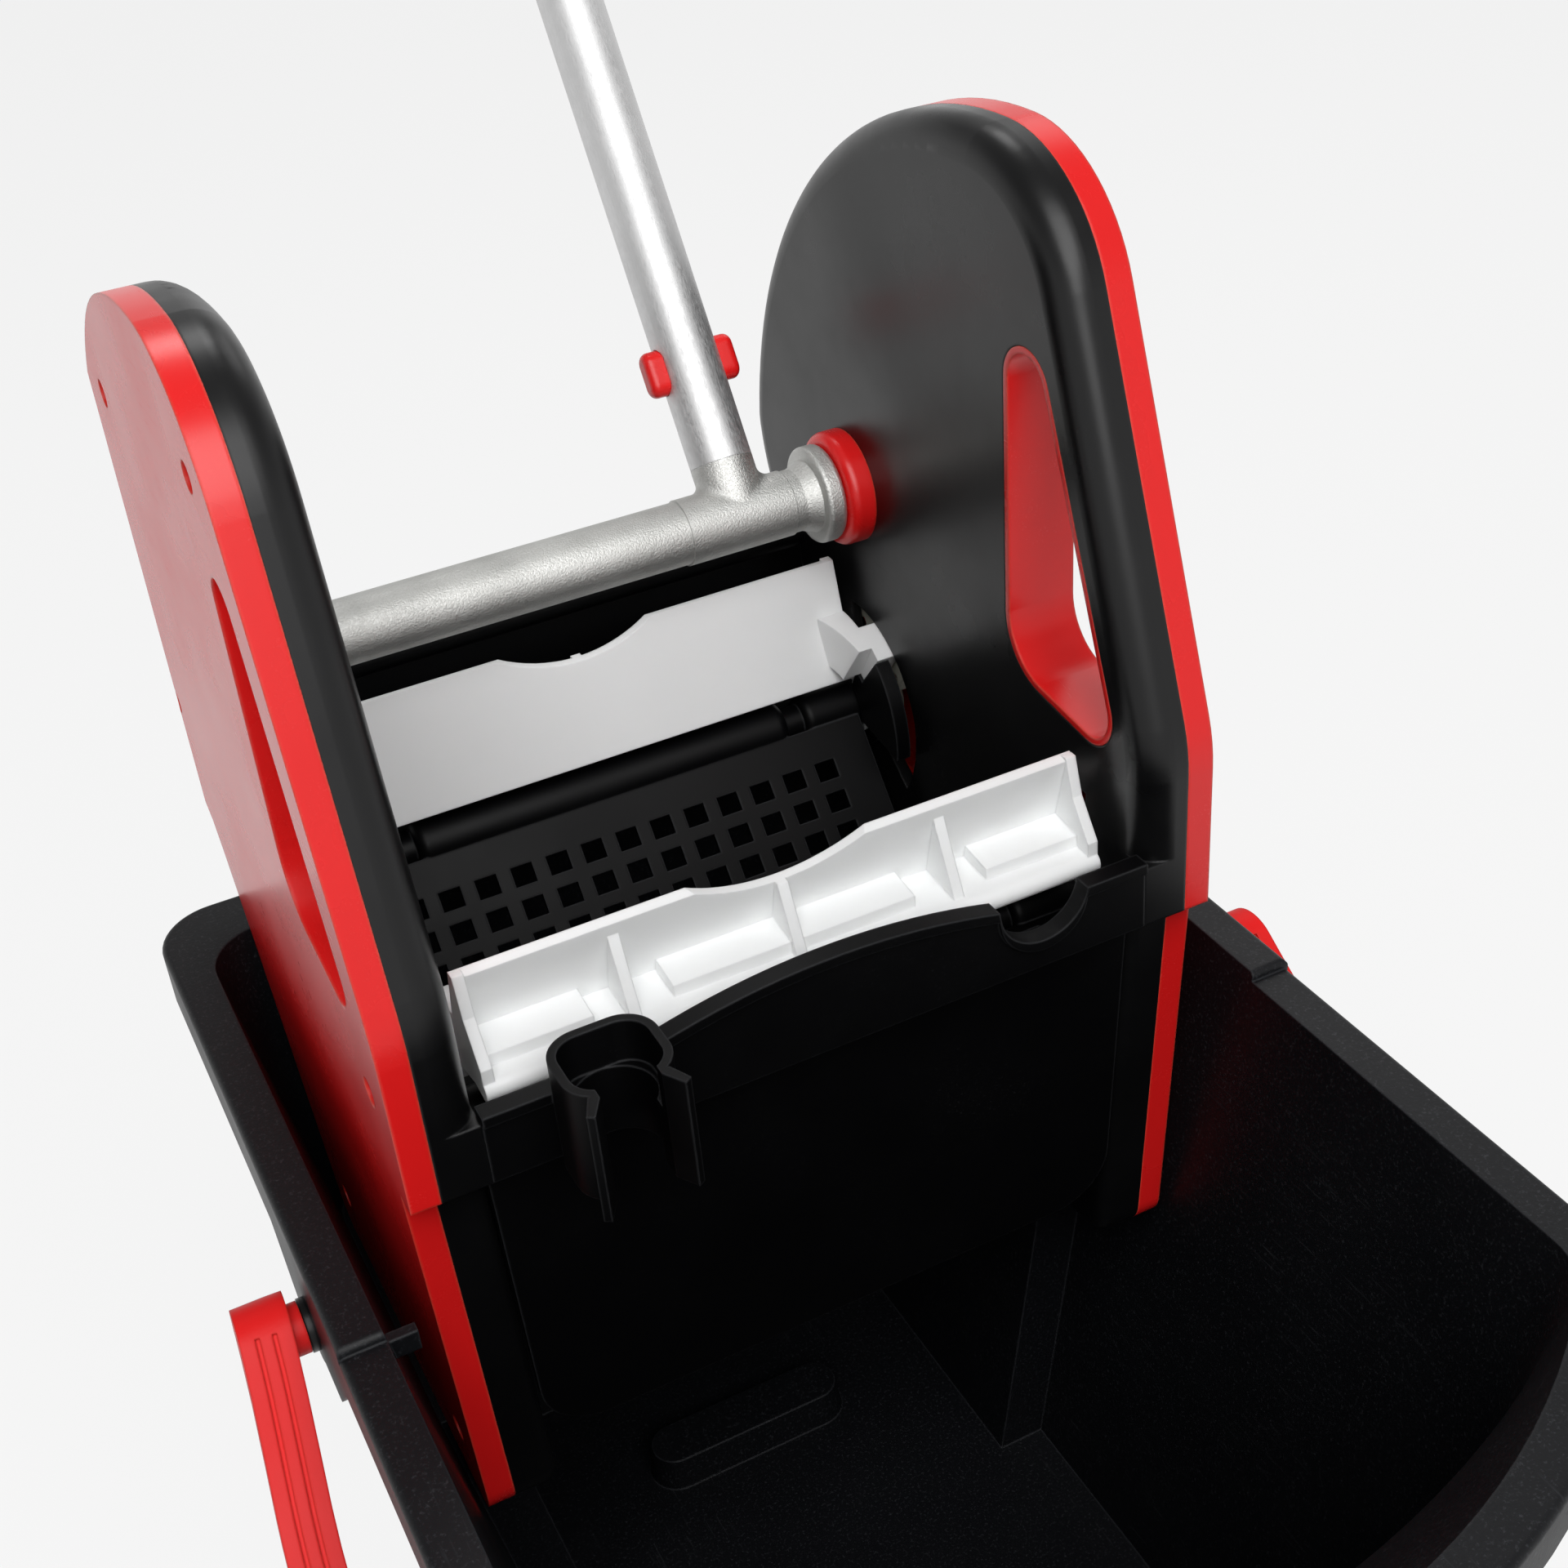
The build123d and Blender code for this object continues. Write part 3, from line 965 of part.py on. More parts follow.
def make_castor(x, y):
    """One castor at its place: plate with kingpin, fork, wheel and axle."""
    plate = block((-PLATE_HALF, -PLATE_HALF, PLATE_TOP - PLATE_THICK), (PLATE_HALF, PLATE_HALF, PLATE_TOP))
    plate = fillet(plate.edges().filter_by(Axis.Z), 6)
    head_low = FORK_CROWN_LOW - 3
    under = PLATE_TOP - PLATE_THICK
    plate += Pos(0, 0, (head_low + under) / 2) * Cylinder(KINGPIN_R, under - head_low)
    crown_top = PLATE_TOP - PLATE_THICK - SEAT_GAP
    rivet_top = FORK_CROWN_LOW - SEAT_GAP
    plate += Pos(0, 0, (head_low + rivet_top) / 2) * Cylinder(KINGPIN_R + 3, rivet_top - head_low)
    half = FORK_GAP / 2
    axle_at = (CASTOR_TRAIL, WHEEL_R)
    side_view = make_hull((Pos(axle_at[0], axle_at[1]) * Circle(11)).edges()
                          + (Pos(0, crown_top - 6) * Rectangle(2 * FORK_HEAD_R - 8, 12)).edges())
    cheek = slab(side_view, half, half + FORK_THICK)
    fork = both_sides(cheek)
    outer = half + FORK_THICK
    fork += block((-outer, -FORK_HEAD_R + 4, FORK_CROWN_LOW), (outer, FORK_HEAD_R - 4, crown_top))
    fork += Pos(0, 0, crown_top - 4) * Cylinder(FORK_HEAD_R, 8)
    fork -= Pos(0, 0, crown_top - 8) * Cylinder(KINGPIN_R + RUN, 2 * FORK_HEAD_R)
    fork -= disc(axle_at, AXLE_R + RUN, -FORK_HEAD_R, FORK_HEAD_R)
    axle = disc(axle_at, AXLE_R, -half - FORK_THICK - 1, half + FORK_THICK + 1)
    axle += both_sides(disc(axle_at, AXLE_R + 3, half + FORK_THICK, half + FORK_THICK + 3))
    rim = WHEEL_WIDE / 2
    profile = Line((AXLE_R + RUN, -rim - 2), (WHEEL_HUB_R, -rim - 2))
    profile += Polyline((WHEEL_HUB_R, -rim - 2), (WHEEL_HUB_R + 1, -4), (WHEEL_R - 11, -4), (WHEEL_R - 9, -rim))
    profile += Line((WHEEL_R - 9, -rim), (WHEEL_R - 5, -rim))
    profile += ThreePointArc((WHEEL_R - 5, -rim), (WHEEL_R, 0), (WHEEL_R - 5, rim))
    profile += Line((WHEEL_R - 5, rim), (WHEEL_R - 9, rim))
    profile += Polyline((WHEEL_R - 9, rim), (WHEEL_R - 11, 4), (WHEEL_HUB_R + 1, 4), (WHEEL_HUB_R, rim + 2))
    profile += Polyline((WHEEL_HUB_R, rim + 2), (AXLE_R + RUN, rim + 2), (AXLE_R + RUN, -rim - 2))
    wheel = revolve(make_face(profile), Axis.Y)
    wheel = Pos(0, *axle_at) * (Rot(Z=90) * wheel)
    move = Pos(x, y, 0)
    return {"plate": move * plate, "fork": move * fork, "wheel": move * wheel, "axle": move * axle}


def make_parts():
    """Every node of the trolley, as name to solid or group of solids."""
    parts = {"bucket": make_bucket(), "bail": make_bail(), "bail_pins": make_bail_pins()}
    shell = make_shell()
    cover = make_cover()
    bush = make_bush()
    handed = {"side_shell": shell, "side_cover": cover, "shaft_bush": bush}
    handed.update(make_gears())
    for name, solid in handed.items():
        parts["right_" + name] = solid
        parts["left_" + name] = mirror(solid, about=Plane.YZ)
    parts["cover_screws"] = make_screws()
    parts["idler_pins"] = make_idler_pins()
    parts["basket"] = make_basket()
    parts["front_wall"] = make_front_wall()
    parts["rear_wall"] = make_rear_wall()
    parts["rear_jaw"] = make_jaw(REAR_PIVOT, -1)
    parts["front_jaw"] = make_jaw(FRONT_PIVOT, 1)
    parts["rear_jaw_plates"] = make_jaw_plates()
    parts["cross_shaft"] = make_shaft()
    parts["lever_tube"] = make_lever_tube()
    parts["lever_grip"] = make_grip()
    parts["right_snap_button"] = make_button()
    parts["left_snap_button"] = mirror(make_button(), about=yz(LEVER_X))
    parts["button_spring"] = make_button_spring()
    corners = {"rear_right": (CASTOR_X, CASTOR_REAR), "rear_left": (-CASTOR_X, CASTOR_REAR),
               "front_right": (CASTOR_X, CASTOR_FRONT), "front_left": (-CASTOR_X, CASTOR_FRONT)}
    for corner, place in corners.items():
        for piece, solid in make_castor(*place).items():
            parts[corner + "_castor_" + piece] = solid
    return parts


def main():
    """Move the origin under the middle of the whole object and write one file per node."""
    os.makedirs("parts", exist_ok=True)
    parts = make_parts()
    boxes = [solid.bounding_box() for solid in parts.values()]
    front = min(box.min.Y for box in boxes)
    rear = max(box.max.Y for box in boxes)
    shift = -(front + rear) / 2
    print("origin shift in Y:", round(shift, 3), "idlers:", FIRST_IDLER, SECOND_IDLER)
    for name, solid in parts.items():
        export_step(Pos(0, shift, 0) * solid, "parts/" + name + ".step")


if __name__ == "__main__":
    main()
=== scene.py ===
"""Studio scene of a mop bucket trolley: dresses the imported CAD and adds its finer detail."""

import logging
import math
from dataclasses import dataclass, field
from enum import Enum
from typing import Any, Callable, Iterable, Mapping, Optional, Union

import bmesh
import bpy
from mathutils import Matrix, Vector

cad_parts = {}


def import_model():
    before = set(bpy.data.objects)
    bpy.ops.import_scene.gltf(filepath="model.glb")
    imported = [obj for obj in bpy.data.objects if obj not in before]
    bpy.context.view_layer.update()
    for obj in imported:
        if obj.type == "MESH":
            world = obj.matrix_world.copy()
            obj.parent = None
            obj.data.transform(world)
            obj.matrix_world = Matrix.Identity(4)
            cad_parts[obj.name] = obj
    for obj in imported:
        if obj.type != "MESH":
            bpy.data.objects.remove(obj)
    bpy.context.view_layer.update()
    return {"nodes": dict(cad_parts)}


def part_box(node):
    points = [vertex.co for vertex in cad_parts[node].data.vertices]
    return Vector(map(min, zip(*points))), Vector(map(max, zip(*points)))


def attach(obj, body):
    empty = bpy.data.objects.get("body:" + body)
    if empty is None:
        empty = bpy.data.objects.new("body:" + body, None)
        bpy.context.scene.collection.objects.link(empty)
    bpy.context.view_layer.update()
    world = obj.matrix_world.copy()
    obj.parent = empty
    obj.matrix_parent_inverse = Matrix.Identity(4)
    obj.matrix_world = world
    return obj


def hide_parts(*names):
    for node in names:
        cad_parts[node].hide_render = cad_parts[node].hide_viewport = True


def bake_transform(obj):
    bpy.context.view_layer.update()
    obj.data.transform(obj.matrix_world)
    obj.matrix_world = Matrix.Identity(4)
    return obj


LOG = logging.getLogger("mop_bucket_trolley")
MM = 0.001
WHITE = (1.0, 1.0, 1.0, 1.0)

# The lever's pivot in millimetres, and how far the lever leans back from upright in degrees.
LEVER_PIVOT = (72.0, 96.956, 530.0)
LEVER_LEAN = 33.0

# Tests for picking faces and edges: a face looks along an axis or across it, a place is on the
# axis, and two lengths in millimetres are the same.
ALONG = 0.9
ACROSS = 0.5
ON_AXIS_MM = 1.0
NEAR_MM = 0.1

# Socket numbers of the colour form of the Mix node.
MIX_FACTOR, MIX_FROM, MIX_TO, MIX_RESULT = 0, 6, 7, 2

# Spans of noise values that the patterns are cut from.
NOISE_SPAN = (0.3, 0.7)
SCUFFED_PATCH = (0.45, 0.72)
SCUFF_LINE = (0.60, 0.78)
SPECK_SPOT = (0.56, 0.74)
DULL_PATCH = (0.35, 0.70)
# How well the rounded and the true normal agree, from a plain face to an edge fully painted in the
# rubbed colour, as wear and as a painted highlight.
WORN_AND_HIGHLIGHTED_EDGE = (0.97, 0.80)

# Scuffs are noise that is turned off the axes and drawn out along one of them.
SCUFF_TURN = (0.5, 0.3, 0.2)
SCUFF_SCALE = (1.0, 0.05, 1.0)

BEVEL_SAMPLES = 4
PLASTIC_IOR = 1.49
# Blue light goes a little less far in a milky plastic.
MILKY_RADIUS = (1.0, 1.0, 0.95)


class Corner(Enum):
    """The four castor places, named as the CAD nodes name them."""

    REAR_RIGHT = "rear_right"
    REAR_LEFT = "rear_left"
    FRONT_RIGHT = "front_right"
    FRONT_LEFT = "front_left"


class Side(Enum):
    """The two mirrored side housings of the press."""

    LEFT = "left"
    RIGHT = "right"


class Axis(Enum):
    """Axes that new pieces are turned on."""

    X = (1.0, 0.0, 0.0)
    Y = (0.0, 1.0, 0.0)
    Z = (0.0, 0.0, 1.0)


def linear(colour: str) -> tuple[float, float, float, float]:
    """Turns an sRGB hex colour into linear RGBA.

    Args:
        colour: Six hex digits after a hash sign.

    Returns:
        Linear red, green, blue and an alpha of 1.
    """
    parts = [int(colour[i:i + 2], 16) / 255 for i in (1, 3, 5)]
    red, green, blue = (
        p / 12.92 if p <= 0.04045 else ((p + 0.055) / 1.055) ** 2.4 for p in parts
    )
    return red, green, blue, 1.0


def lever_point(along: float) -> Vector:
    """Finds a point on the lever's axis.

    Args:
        along: Distance from the pivot in millimetres.

    Returns:
        The point in metres.
    """
    lean = math.radians(LEVER_LEAN)
    up = Vector((0.0, math.sin(lean), math.cos(lean)))
    return (Vector(LEVER_PIVOT) + up * along) * MM


def add_node(
    tree: bpy.types.NodeTree,
    kind: str,
    settings: Optional[Mapping[str, Any]] = None,
    inputs: Optional[Mapping[Any, Any]] = None,
) -> bpy.types.Node:
    """Adds one shader node with its settings and its inputs.

    Args:
        tree: Node tree that gets the node.
        kind: Blender's type name of the node.
        settings: Attributes to set on the node.
        inputs: Socket name or number to a value, or to an output socket that is linked in.

    Returns:
        The new node.
    """
    node = tree.nodes.new(kind)
    for key, value in (settings or {}).items():
        setattr(node, key, value)
    for key, value in (inputs or {}).items():
        if isinstance(value, bpy.types.NodeSocket):
            tree.links.new(value, node.inputs[key])
        else:
            node.inputs[key].default_value = value
    return node


def noise(
    tree: bpy.types.NodeTree,
    place: bpy.types.NodeSocket,
    size_mm: float,
    detail: float,
    roughness: float,
) -> bpy.types.NodeSocket:
    """Adds a noise pattern.

    Args:
        tree: Node tree that gets the node.
        place: Coordinates.
        size_mm: Size of the pattern in millimetres.
        detail: Number of finer layers.
        roughness: Strength of the finer layers.

    Returns:
        The noise value.
    """
    node = add_node(tree, "ShaderNodeTexNoise", None, {
        "Vector": place,
        "Scale": 1 / (size_mm * MM),
        "Detail": detail,
        "Roughness": roughness,
    })
    return node.outputs["Fac"]


def remap(
    tree: bpy.types.NodeTree,
    value: bpy.types.NodeSocket,
    span: tuple[float, float] = (0.0, 1.0),
    to: tuple[Any, Any] = (0.0, 1.0),
    ease: str = "LINEAR",
) -> bpy.types.NodeSocket:
    """Maps a value from one span to another and keeps it inside.

    Args:
        tree: Node tree that gets the node.
        value: The value.
        span: Where the value starts and ends.
        to: The results there, as numbers or sockets.
        ease: Blender's name of the curve between them.

    Returns:
        The mapped value.
    """
    node = add_node(tree, "ShaderNodeMapRange", {"interpolation_type": ease}, {
        "Value": value,
        "From Min": span[0],
        "From Max": span[1],
        "To Min": to[0],
        "To Max": to[1],
    })
    return node.outputs["Result"]


def combine(
    tree: bpy.types.NodeTree, operation: str, first: bpy.types.NodeSocket, second: Any
) -> bpy.types.NodeSocket:
    """Joins two values by arithmetic.

    Args:
        tree: Node tree that gets the node.
        operation: Blender's name of the operation.
        first: The first value.
        second: The second value, a number or a socket.

    Returns:
        The result.
    """
    node = add_node(tree, "ShaderNodeMath", {"operation": operation}, {0: first, 1: second})
    return node.outputs["Value"]


def mix_colours(
    tree: bpy.types.NodeTree, factor: bpy.types.NodeSocket, start: Any, end: Any
) -> bpy.types.NodeSocket:
    """Mixes two colours.

    Args:
        tree: Node tree that gets the node.
        factor: Share of the second colour.
        start: The first colour, a value or a socket.
        end: The second colour, a value or a socket.

    Returns:
        The mixed colour.
    """
    node = add_node(tree, "ShaderNodeMix", {"data_type": "RGBA"},
                    {MIX_FACTOR: factor, MIX_FROM: start, MIX_TO: end})
    return node.outputs[MIX_RESULT]


def rounded_normal(tree: bpy.types.NodeTree, edge_mm: float) -> bpy.types.NodeSocket:
    """Adds a normal that is rounded over at sharp edges.

    Args:
        tree: Node tree that gets the node.
        edge_mm: Radius of the rounding in millimetres.

    Returns:
        The normal.
    """
    node = add_node(tree, "ShaderNodeBevel", {"samples": BEVEL_SAMPLES}, {"Radius": edge_mm * MM})
    return node.outputs["Normal"]


def relief(
    tree: bpy.types.NodeTree,
    height: bpy.types.NodeSocket,
    depth_mm: float,
    normal: bpy.types.NodeSocket,
) -> bpy.types.NodeSocket:
    """Adds a fine relief to a normal.

    Args:
        tree: Node tree that gets the node.
        height: The pattern.
        depth_mm: Its depth in millimetres.
        normal: The normal that carries it.

    Returns:
        The new normal.
    """
    node = add_node(tree, "ShaderNodeBump", None,
                    {"Height": height, "Distance": depth_mm * MM, "Normal": normal})
    return node.outputs["Normal"]


def new_material(name: str) -> tuple[bpy.types.Material, bpy.types.NodeTree]:
    """Makes an empty node material.

    Args:
        name: The material's name.

    Returns:
        The material and its cleared node tree.
    """
    material = bpy.data.materials.new(name)
    material.use_nodes = True
    material.node_tree.nodes.clear()
    return material, material.node_tree


@dataclass(frozen=True)
class MouldedPlastic:
    """An injection-moulded plastic: tool grain, colour drift, fine scuffs, and sharp edges painted
    in a paler colour as wear and as a painted highlight.
    """

    name: str
    colour: str
    # Colour of scuffs, specks and worn edges; where it is pale, the edges show it as a painted
    # highlight.
    rubbed_and_highlight: str
    roughness: float
    grain_mm: float = 1.1
    grain_depth_mm: float = 0.02
    edge_mm: float = 0.8
    # Share of that colour at sharp edges: wear, and a painted highlight where the colour is pale.
    edge_wear_and_highlight: float = 0.30
    cloud_mm: float = 70.0
    drift: float = 0.10
    blotch: float = 0.12
    scuff: float = 0.25
    scuff_mm: float = 0.9
    speck: float = 0.0
    speck_mm: float = 1.3
    specular: float = 0.5
    subsurface: float = 0.0
    subsurface_mm: float = 3.0

    def scuffs(
        self,
        tree: bpy.types.NodeTree,
        place: bpy.types.NodeSocket,
        cloud: bpy.types.NodeSocket,
    ) -> bpy.types.NodeSocket:
        """Adds fine lines that lie in patches.

        Args:
            tree: The material's node tree.
            place: Coordinates.
            cloud: Noise that says where the patches are.

        Returns:
            Strength of the scuffs.
        """
        drawn_out = add_node(tree, "ShaderNodeMapping", None,
                             {"Vector": place, "Rotation": SCUFF_TURN, "Scale": SCUFF_SCALE})
        streak = noise(tree, drawn_out.outputs["Vector"], self.scuff_mm, detail=3.0, roughness=0.7)
        patch = remap(tree, cloud, SCUFFED_PATCH)
        lines = remap(tree, streak, SCUFF_LINE, (0.0, self.scuff))
        return combine(tree, "MULTIPLY", patch, lines)

    def edges(
        self, tree: bpy.types.NodeTree, rounded: bpy.types.NodeSocket
    ) -> bpy.types.NodeSocket:
        """Adds wear and a painted highlight along sharp edges.

        Args:
            tree: The material's node tree.
            rounded: The rounded normal.

        Returns:
            Strength of the wear and painted highlight.
        """
        true_normal = add_node(tree, "ShaderNodeNewGeometry").outputs["Normal"]
        facing = add_node(tree, "ShaderNodeVectorMath", {"operation": "DOT_PRODUCT"},
                          {0: rounded, 1: true_normal})
        return remap(tree, facing.outputs["Value"], WORN_AND_HIGHLIGHTED_EDGE, (0.0, self.edge_wear_and_highlight))

    def build(self) -> bpy.types.Material:
        """Builds the material.

        Returns:
            A material on Object coordinates.
        """
        material, tree = new_material(self.name)
        place = add_node(tree, "ShaderNodeTexCoord").outputs["Object"]
        grain = noise(tree, place, self.grain_mm, detail=2.0, roughness=0.6)
        cloud = noise(tree, place, self.cloud_mm, detail=4.0, roughness=0.6)
        dust = noise(tree, place, self.speck_mm, detail=3.0, roughness=0.7)
        rounded = rounded_normal(tree, self.edge_mm)
        scuffs = self.scuffs(tree, place, cloud)
        specks = remap(tree, dust, SPECK_SPOT, (0.0, self.speck))
        # Scuffs, specks, worn edges and painted edge highlights all take the rubbed colour.
        rubs_and_highlights = combine(tree, "MAXIMUM", scuffs, self.edges(tree, rounded))
        wear_and_highlights = combine(tree, "MAXIMUM", rubs_and_highlights, specks)
        shade = remap(tree, cloud, to=(1 - self.drift, 1 + self.drift))
        tinted = add_node(tree, "ShaderNodeVectorMath", {"operation": "SCALE"},
                          {0: linear(self.colour)[:3], "Scale": shade})
        spread = (self.roughness * (1 - self.blotch), self.roughness * (1 + self.blotch))
        rough = remap(tree, cloud, NOISE_SPAN, spread)
        shader = add_node(tree, "ShaderNodeBsdfPrincipled", None, {
            "Base Color": mix_colours(tree, wear_and_highlights, tinted.outputs["Vector"], linear(self.rubbed_and_highlight)),
            "Roughness": combine(tree, "ADD", rough, scuffs),
            "IOR": PLASTIC_IOR,
            "Specular IOR Level": self.specular,
            "Subsurface Weight": self.subsurface,
            "Subsurface Radius": MILKY_RADIUS,
            "Subsurface Scale": self.subsurface_mm * MM,
            "Normal": relief(tree, grain, self.grain_depth_mm, rounded),
        })
        add_node(tree, "ShaderNodeOutputMaterial", None, {"Surface": shader.outputs["BSDF"]})
        return material


@dataclass(frozen=True)
class WorkedMetal:
    """A bare or plated metal: grit or drawn lines in its skin, duller patches from handling."""

    name: str
    colour: str
    dull: str
    roughness: float
    grit_mm: float = 0.8
    grit_depth_mm: float = 0.03
    stretch: float = 1.0
    turn: tuple[float, float, float] = (0.0, 0.0, 0.0)
    edge_mm: float = 0.6
    cloud_mm: float = 40.0
    blotch: float = 0.2

    def build(self) -> bpy.types.Material:
        """Builds the material.

        Returns:
            A material on Object coordinates, with its grit stretched along the turned Z axis.
        """
        material, tree = new_material(self.name)
        place = add_node(tree, "ShaderNodeTexCoord").outputs["Object"]
        drawn = add_node(tree, "ShaderNodeMapping", {"vector_type": "TEXTURE"}, {
            "Vector": place,
            "Rotation": self.turn,
            "Scale": (1.0, 1.0, self.stretch),
        })
        grit = noise(tree, drawn.outputs["Vector"], self.grit_mm, detail=3.0, roughness=0.65)
        cloud = noise(tree, place, self.cloud_mm, detail=5.0, roughness=0.6)
        fade = remap(tree, cloud, DULL_PATCH)
        rounded = rounded_normal(tree, self.edge_mm)
        spread = (self.roughness * (1 - self.blotch), self.roughness * (1 + self.blotch))
        shader = add_node(tree, "ShaderNodeBsdfPrincipled", None, {
            "Base Color": mix_colours(tree, fade, linear(self.colour), linear(self.dull)),
            "Metallic": 1.0,
            "Roughness": remap(tree, grit, NOISE_SPAN, spread),
            "Normal": relief(tree, grit, self.grit_depth_mm, rounded),
        })
        add_node(tree, "ShaderNodeOutputMaterial", None, {"Surface": shader.outputs["BSDF"]})
        return material


Finish = Union[MouldedPlastic, WorkedMetal]

# Black polypropylene from a polished tool: deep black with soft, blotchy reflections, greyed
# where it is rubbed.
BLACK_PP = MouldedPlastic(
    "moulded_black_polypropylene", "#0A0A0B", "#2B2B2D", 0.33,
    grain_mm=1.0, grain_depth_mm=0.008, edge_mm=1.2, blotch=0.25, scuff=0.16, specular=0.36,
)
# The same plastic from a duller tool, as on the trough and walls: its darker colour is a painted
# shade, and its pale edges round the holes are a painted highlight.
DULL_BLACK_PP_PAINTED_LIGHT = MouldedPlastic(
    "dull_black_polypropylene_painted_light", "#050506", "#626366", 0.44,
    grain_mm=1.0, grain_depth_mm=0.010, edge_mm=1.3, scuff=0.16, specular=0.12,
)
# Black polypropylene from a grained tool: dry blue-black, leathery grain, pale specks and grey
# wear on its edges.
BUCKET_PP = MouldedPlastic(
    "grained_black_polypropylene", "#0E0F12", "#5A5C61", 0.46,
    grain_mm=1.5, grain_depth_mm=0.07, edge_mm=1.4, scuff=0.40, scuff_mm=1.4, speck=0.30,
    specular=0.24,
)
# Red polypropylene from a polished tool: bright and slick, with fine scuffs, and its sharp edges
# painted pale orange as a painted highlight.
RED_PP = MouldedPlastic(
    "moulded_red_polypropylene", "#EE1E1E", "#F67A5E", 0.27,
    grain_mm=2.2, grain_depth_mm=0.006, edge_mm=1.5, edge_wear_and_highlight=0.5, drift=0.04, scuff=0.18,
    specular=0.45,
)
# Red polypropylene from a dull tool: as red, but dry to the eye, with paler edges where hands
# rub it.
SATIN_RED_PP = MouldedPlastic(
    "satin_red_polypropylene", "#EE1E1E", "#F2604E", 0.48,
    grain_mm=1.4, grain_depth_mm=0.02, edge_mm=1.2, drift=0.04, scuff=0.20, specular=0.22,
)
# Milky polyethylene: light sinks in a few millimetres, so thin edges glow and inner corners stay
# bright.
WHITE_PE = MouldedPlastic(
    "milky_polyethylene", "#F8F9F9", "#ECEDEF", 0.36,
    grain_mm=1.6, grain_depth_mm=0.008, drift=0.02, scuff=0.14, specular=0.40,
    subsurface=0.25, subsurface_mm=3.0,
)
# Moulded acetal: creamy, waxy and plain.
GEAR_POM = MouldedPlastic("moulded_acetal", "#D8D5C8", "#C9C6BA", 0.35, drift=0.04, scuff=0.10)
# Solid rubber: almost black, dry and even, greyed by the floor.
TYRE_RUBBER = MouldedPlastic(
    "solid_grey_rubber", "#2B2C2E", "#4A4B4C", 0.62,
    grain_mm=0.9, grain_depth_mm=0.04, scuff=0.40, specular=0.35,
)
# Blasted aluminium casting: pale, even grey without lines; its grit is drawn coarser than real so
# that it shows.
CAST_ALU = WorkedMetal(
    "blasted_aluminium_casting", "#CFCFCC", "#BABAB7", 0.54, grit_mm=0.8, grit_depth_mm=0.28,
)
# Satin anodised tube: nearly white, with faint drawn lines along the leaning lever.
TUBE_ALU = WorkedMetal(
    "satin_anodised_tube", "#DCDCDC", "#CFCFCF", 0.58,
    grit_mm=0.6, grit_depth_mm=0.02, stretch=5.0, turn=(-math.radians(LEVER_LEAN), 0.0, 0.0),
)
# Zinc-plated steel: slightly blue and cloudy.
ZINC_STEEL = WorkedMetal(
    "zinc_plated_steel", "#BFC3C8", "#9EA2A6", 0.34, grit_mm=0.7, grit_depth_mm=0.01,
)


@dataclass
class Trolley:
    """All CAD nodes of the trolley and the finish that each one gets."""

    nodes: Mapping[str, bpy.types.Object]
    made: dict[str, bpy.types.Material] = field(default_factory=dict)

    def finish(self, kind: Finish) -> bpy.types.Material:
        """Gives the material of a finish, built once.

        Args:
            kind: One of the finishes above.

        Returns:
            Its material.
        """
        if kind.name not in self.made:
            self.made[kind.name] = kind.build()
        return self.made[kind.name]

    def dress(self, names: Iterable[str], kind: Finish) -> None:
        """Puts a finish on CAD nodes.

        Args:
            names: Names of the nodes.
            kind: The finish.
        """
        for name in names:
            node = self.nodes[name]
            if not node.data.materials:
                node.data.materials.append(None)
            for slot in range(len(node.data.materials)):
                node.data.materials[slot] = self.finish(kind)
            LOG.info("dressed %s in %s", name, kind.name)

    def add(self, piece: bpy.types.Object, kind: Finish, body: str, slot: str) -> None:
        """Dresses a new piece and lets it ride on a body.

        Args:
            piece: The finished piece.
            kind: Its finish.
            body: The body that carries it.
            slot: Not used.
        """
        piece.data.materials.clear()
        piece.data.materials.append(self.finish(kind))
        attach(piece, body)
        LOG.info("added %s in %s on %s", piece.name, kind.name, body)

    def dress_all(self) -> None:
        """Dresses every node by what it is made of."""
        sides = [side.value for side in Side]
        corners = [corner.value for corner in Corner]
        gears = ("lever", "first_idler", "second_idler", "rear_jaw", "front_jaw")
        fittings = ("plate", "fork", "axle")
        red = ("side_cover", "shaft_bush", "snap_button")
        self.dress(["bucket"], BUCKET_PP)
        # The trough and walls get the black with painted shade and painted edge highlights.
        self.dress(["basket", "front_wall", "rear_wall", "rear_jaw_plates"], DULL_BLACK_PP_PAINTED_LIGHT)
        self.dress(["bail_pins", "lever_grip"], BLACK_PP)
        self.dress([f"{side}_side_shell" for side in sides], BLACK_PP)
        self.dress(["bail"], SATIN_RED_PP)
        self.dress([f"{side}_{piece}" for side in sides for piece in red], RED_PP)
        self.dress(["front_jaw", "rear_jaw"], WHITE_PE)
        self.dress(["cross_shaft"], CAST_ALU)
        self.dress(["lever_tube"], TUBE_ALU)
        self.dress(["cover_screws", "idler_pins", "button_spring"], ZINC_STEEL)
        self.dress([f"{side}_{gear}_gear" for side in sides for gear in gears], GEAR_POM)
        self.dress([f"{corner}_castor_{piece}" for corner in corners for piece in fittings],
                   ZINC_STEEL)
        self.dress([f"{corner}_castor_wheel" for corner in corners], TYRE_RUBBER)


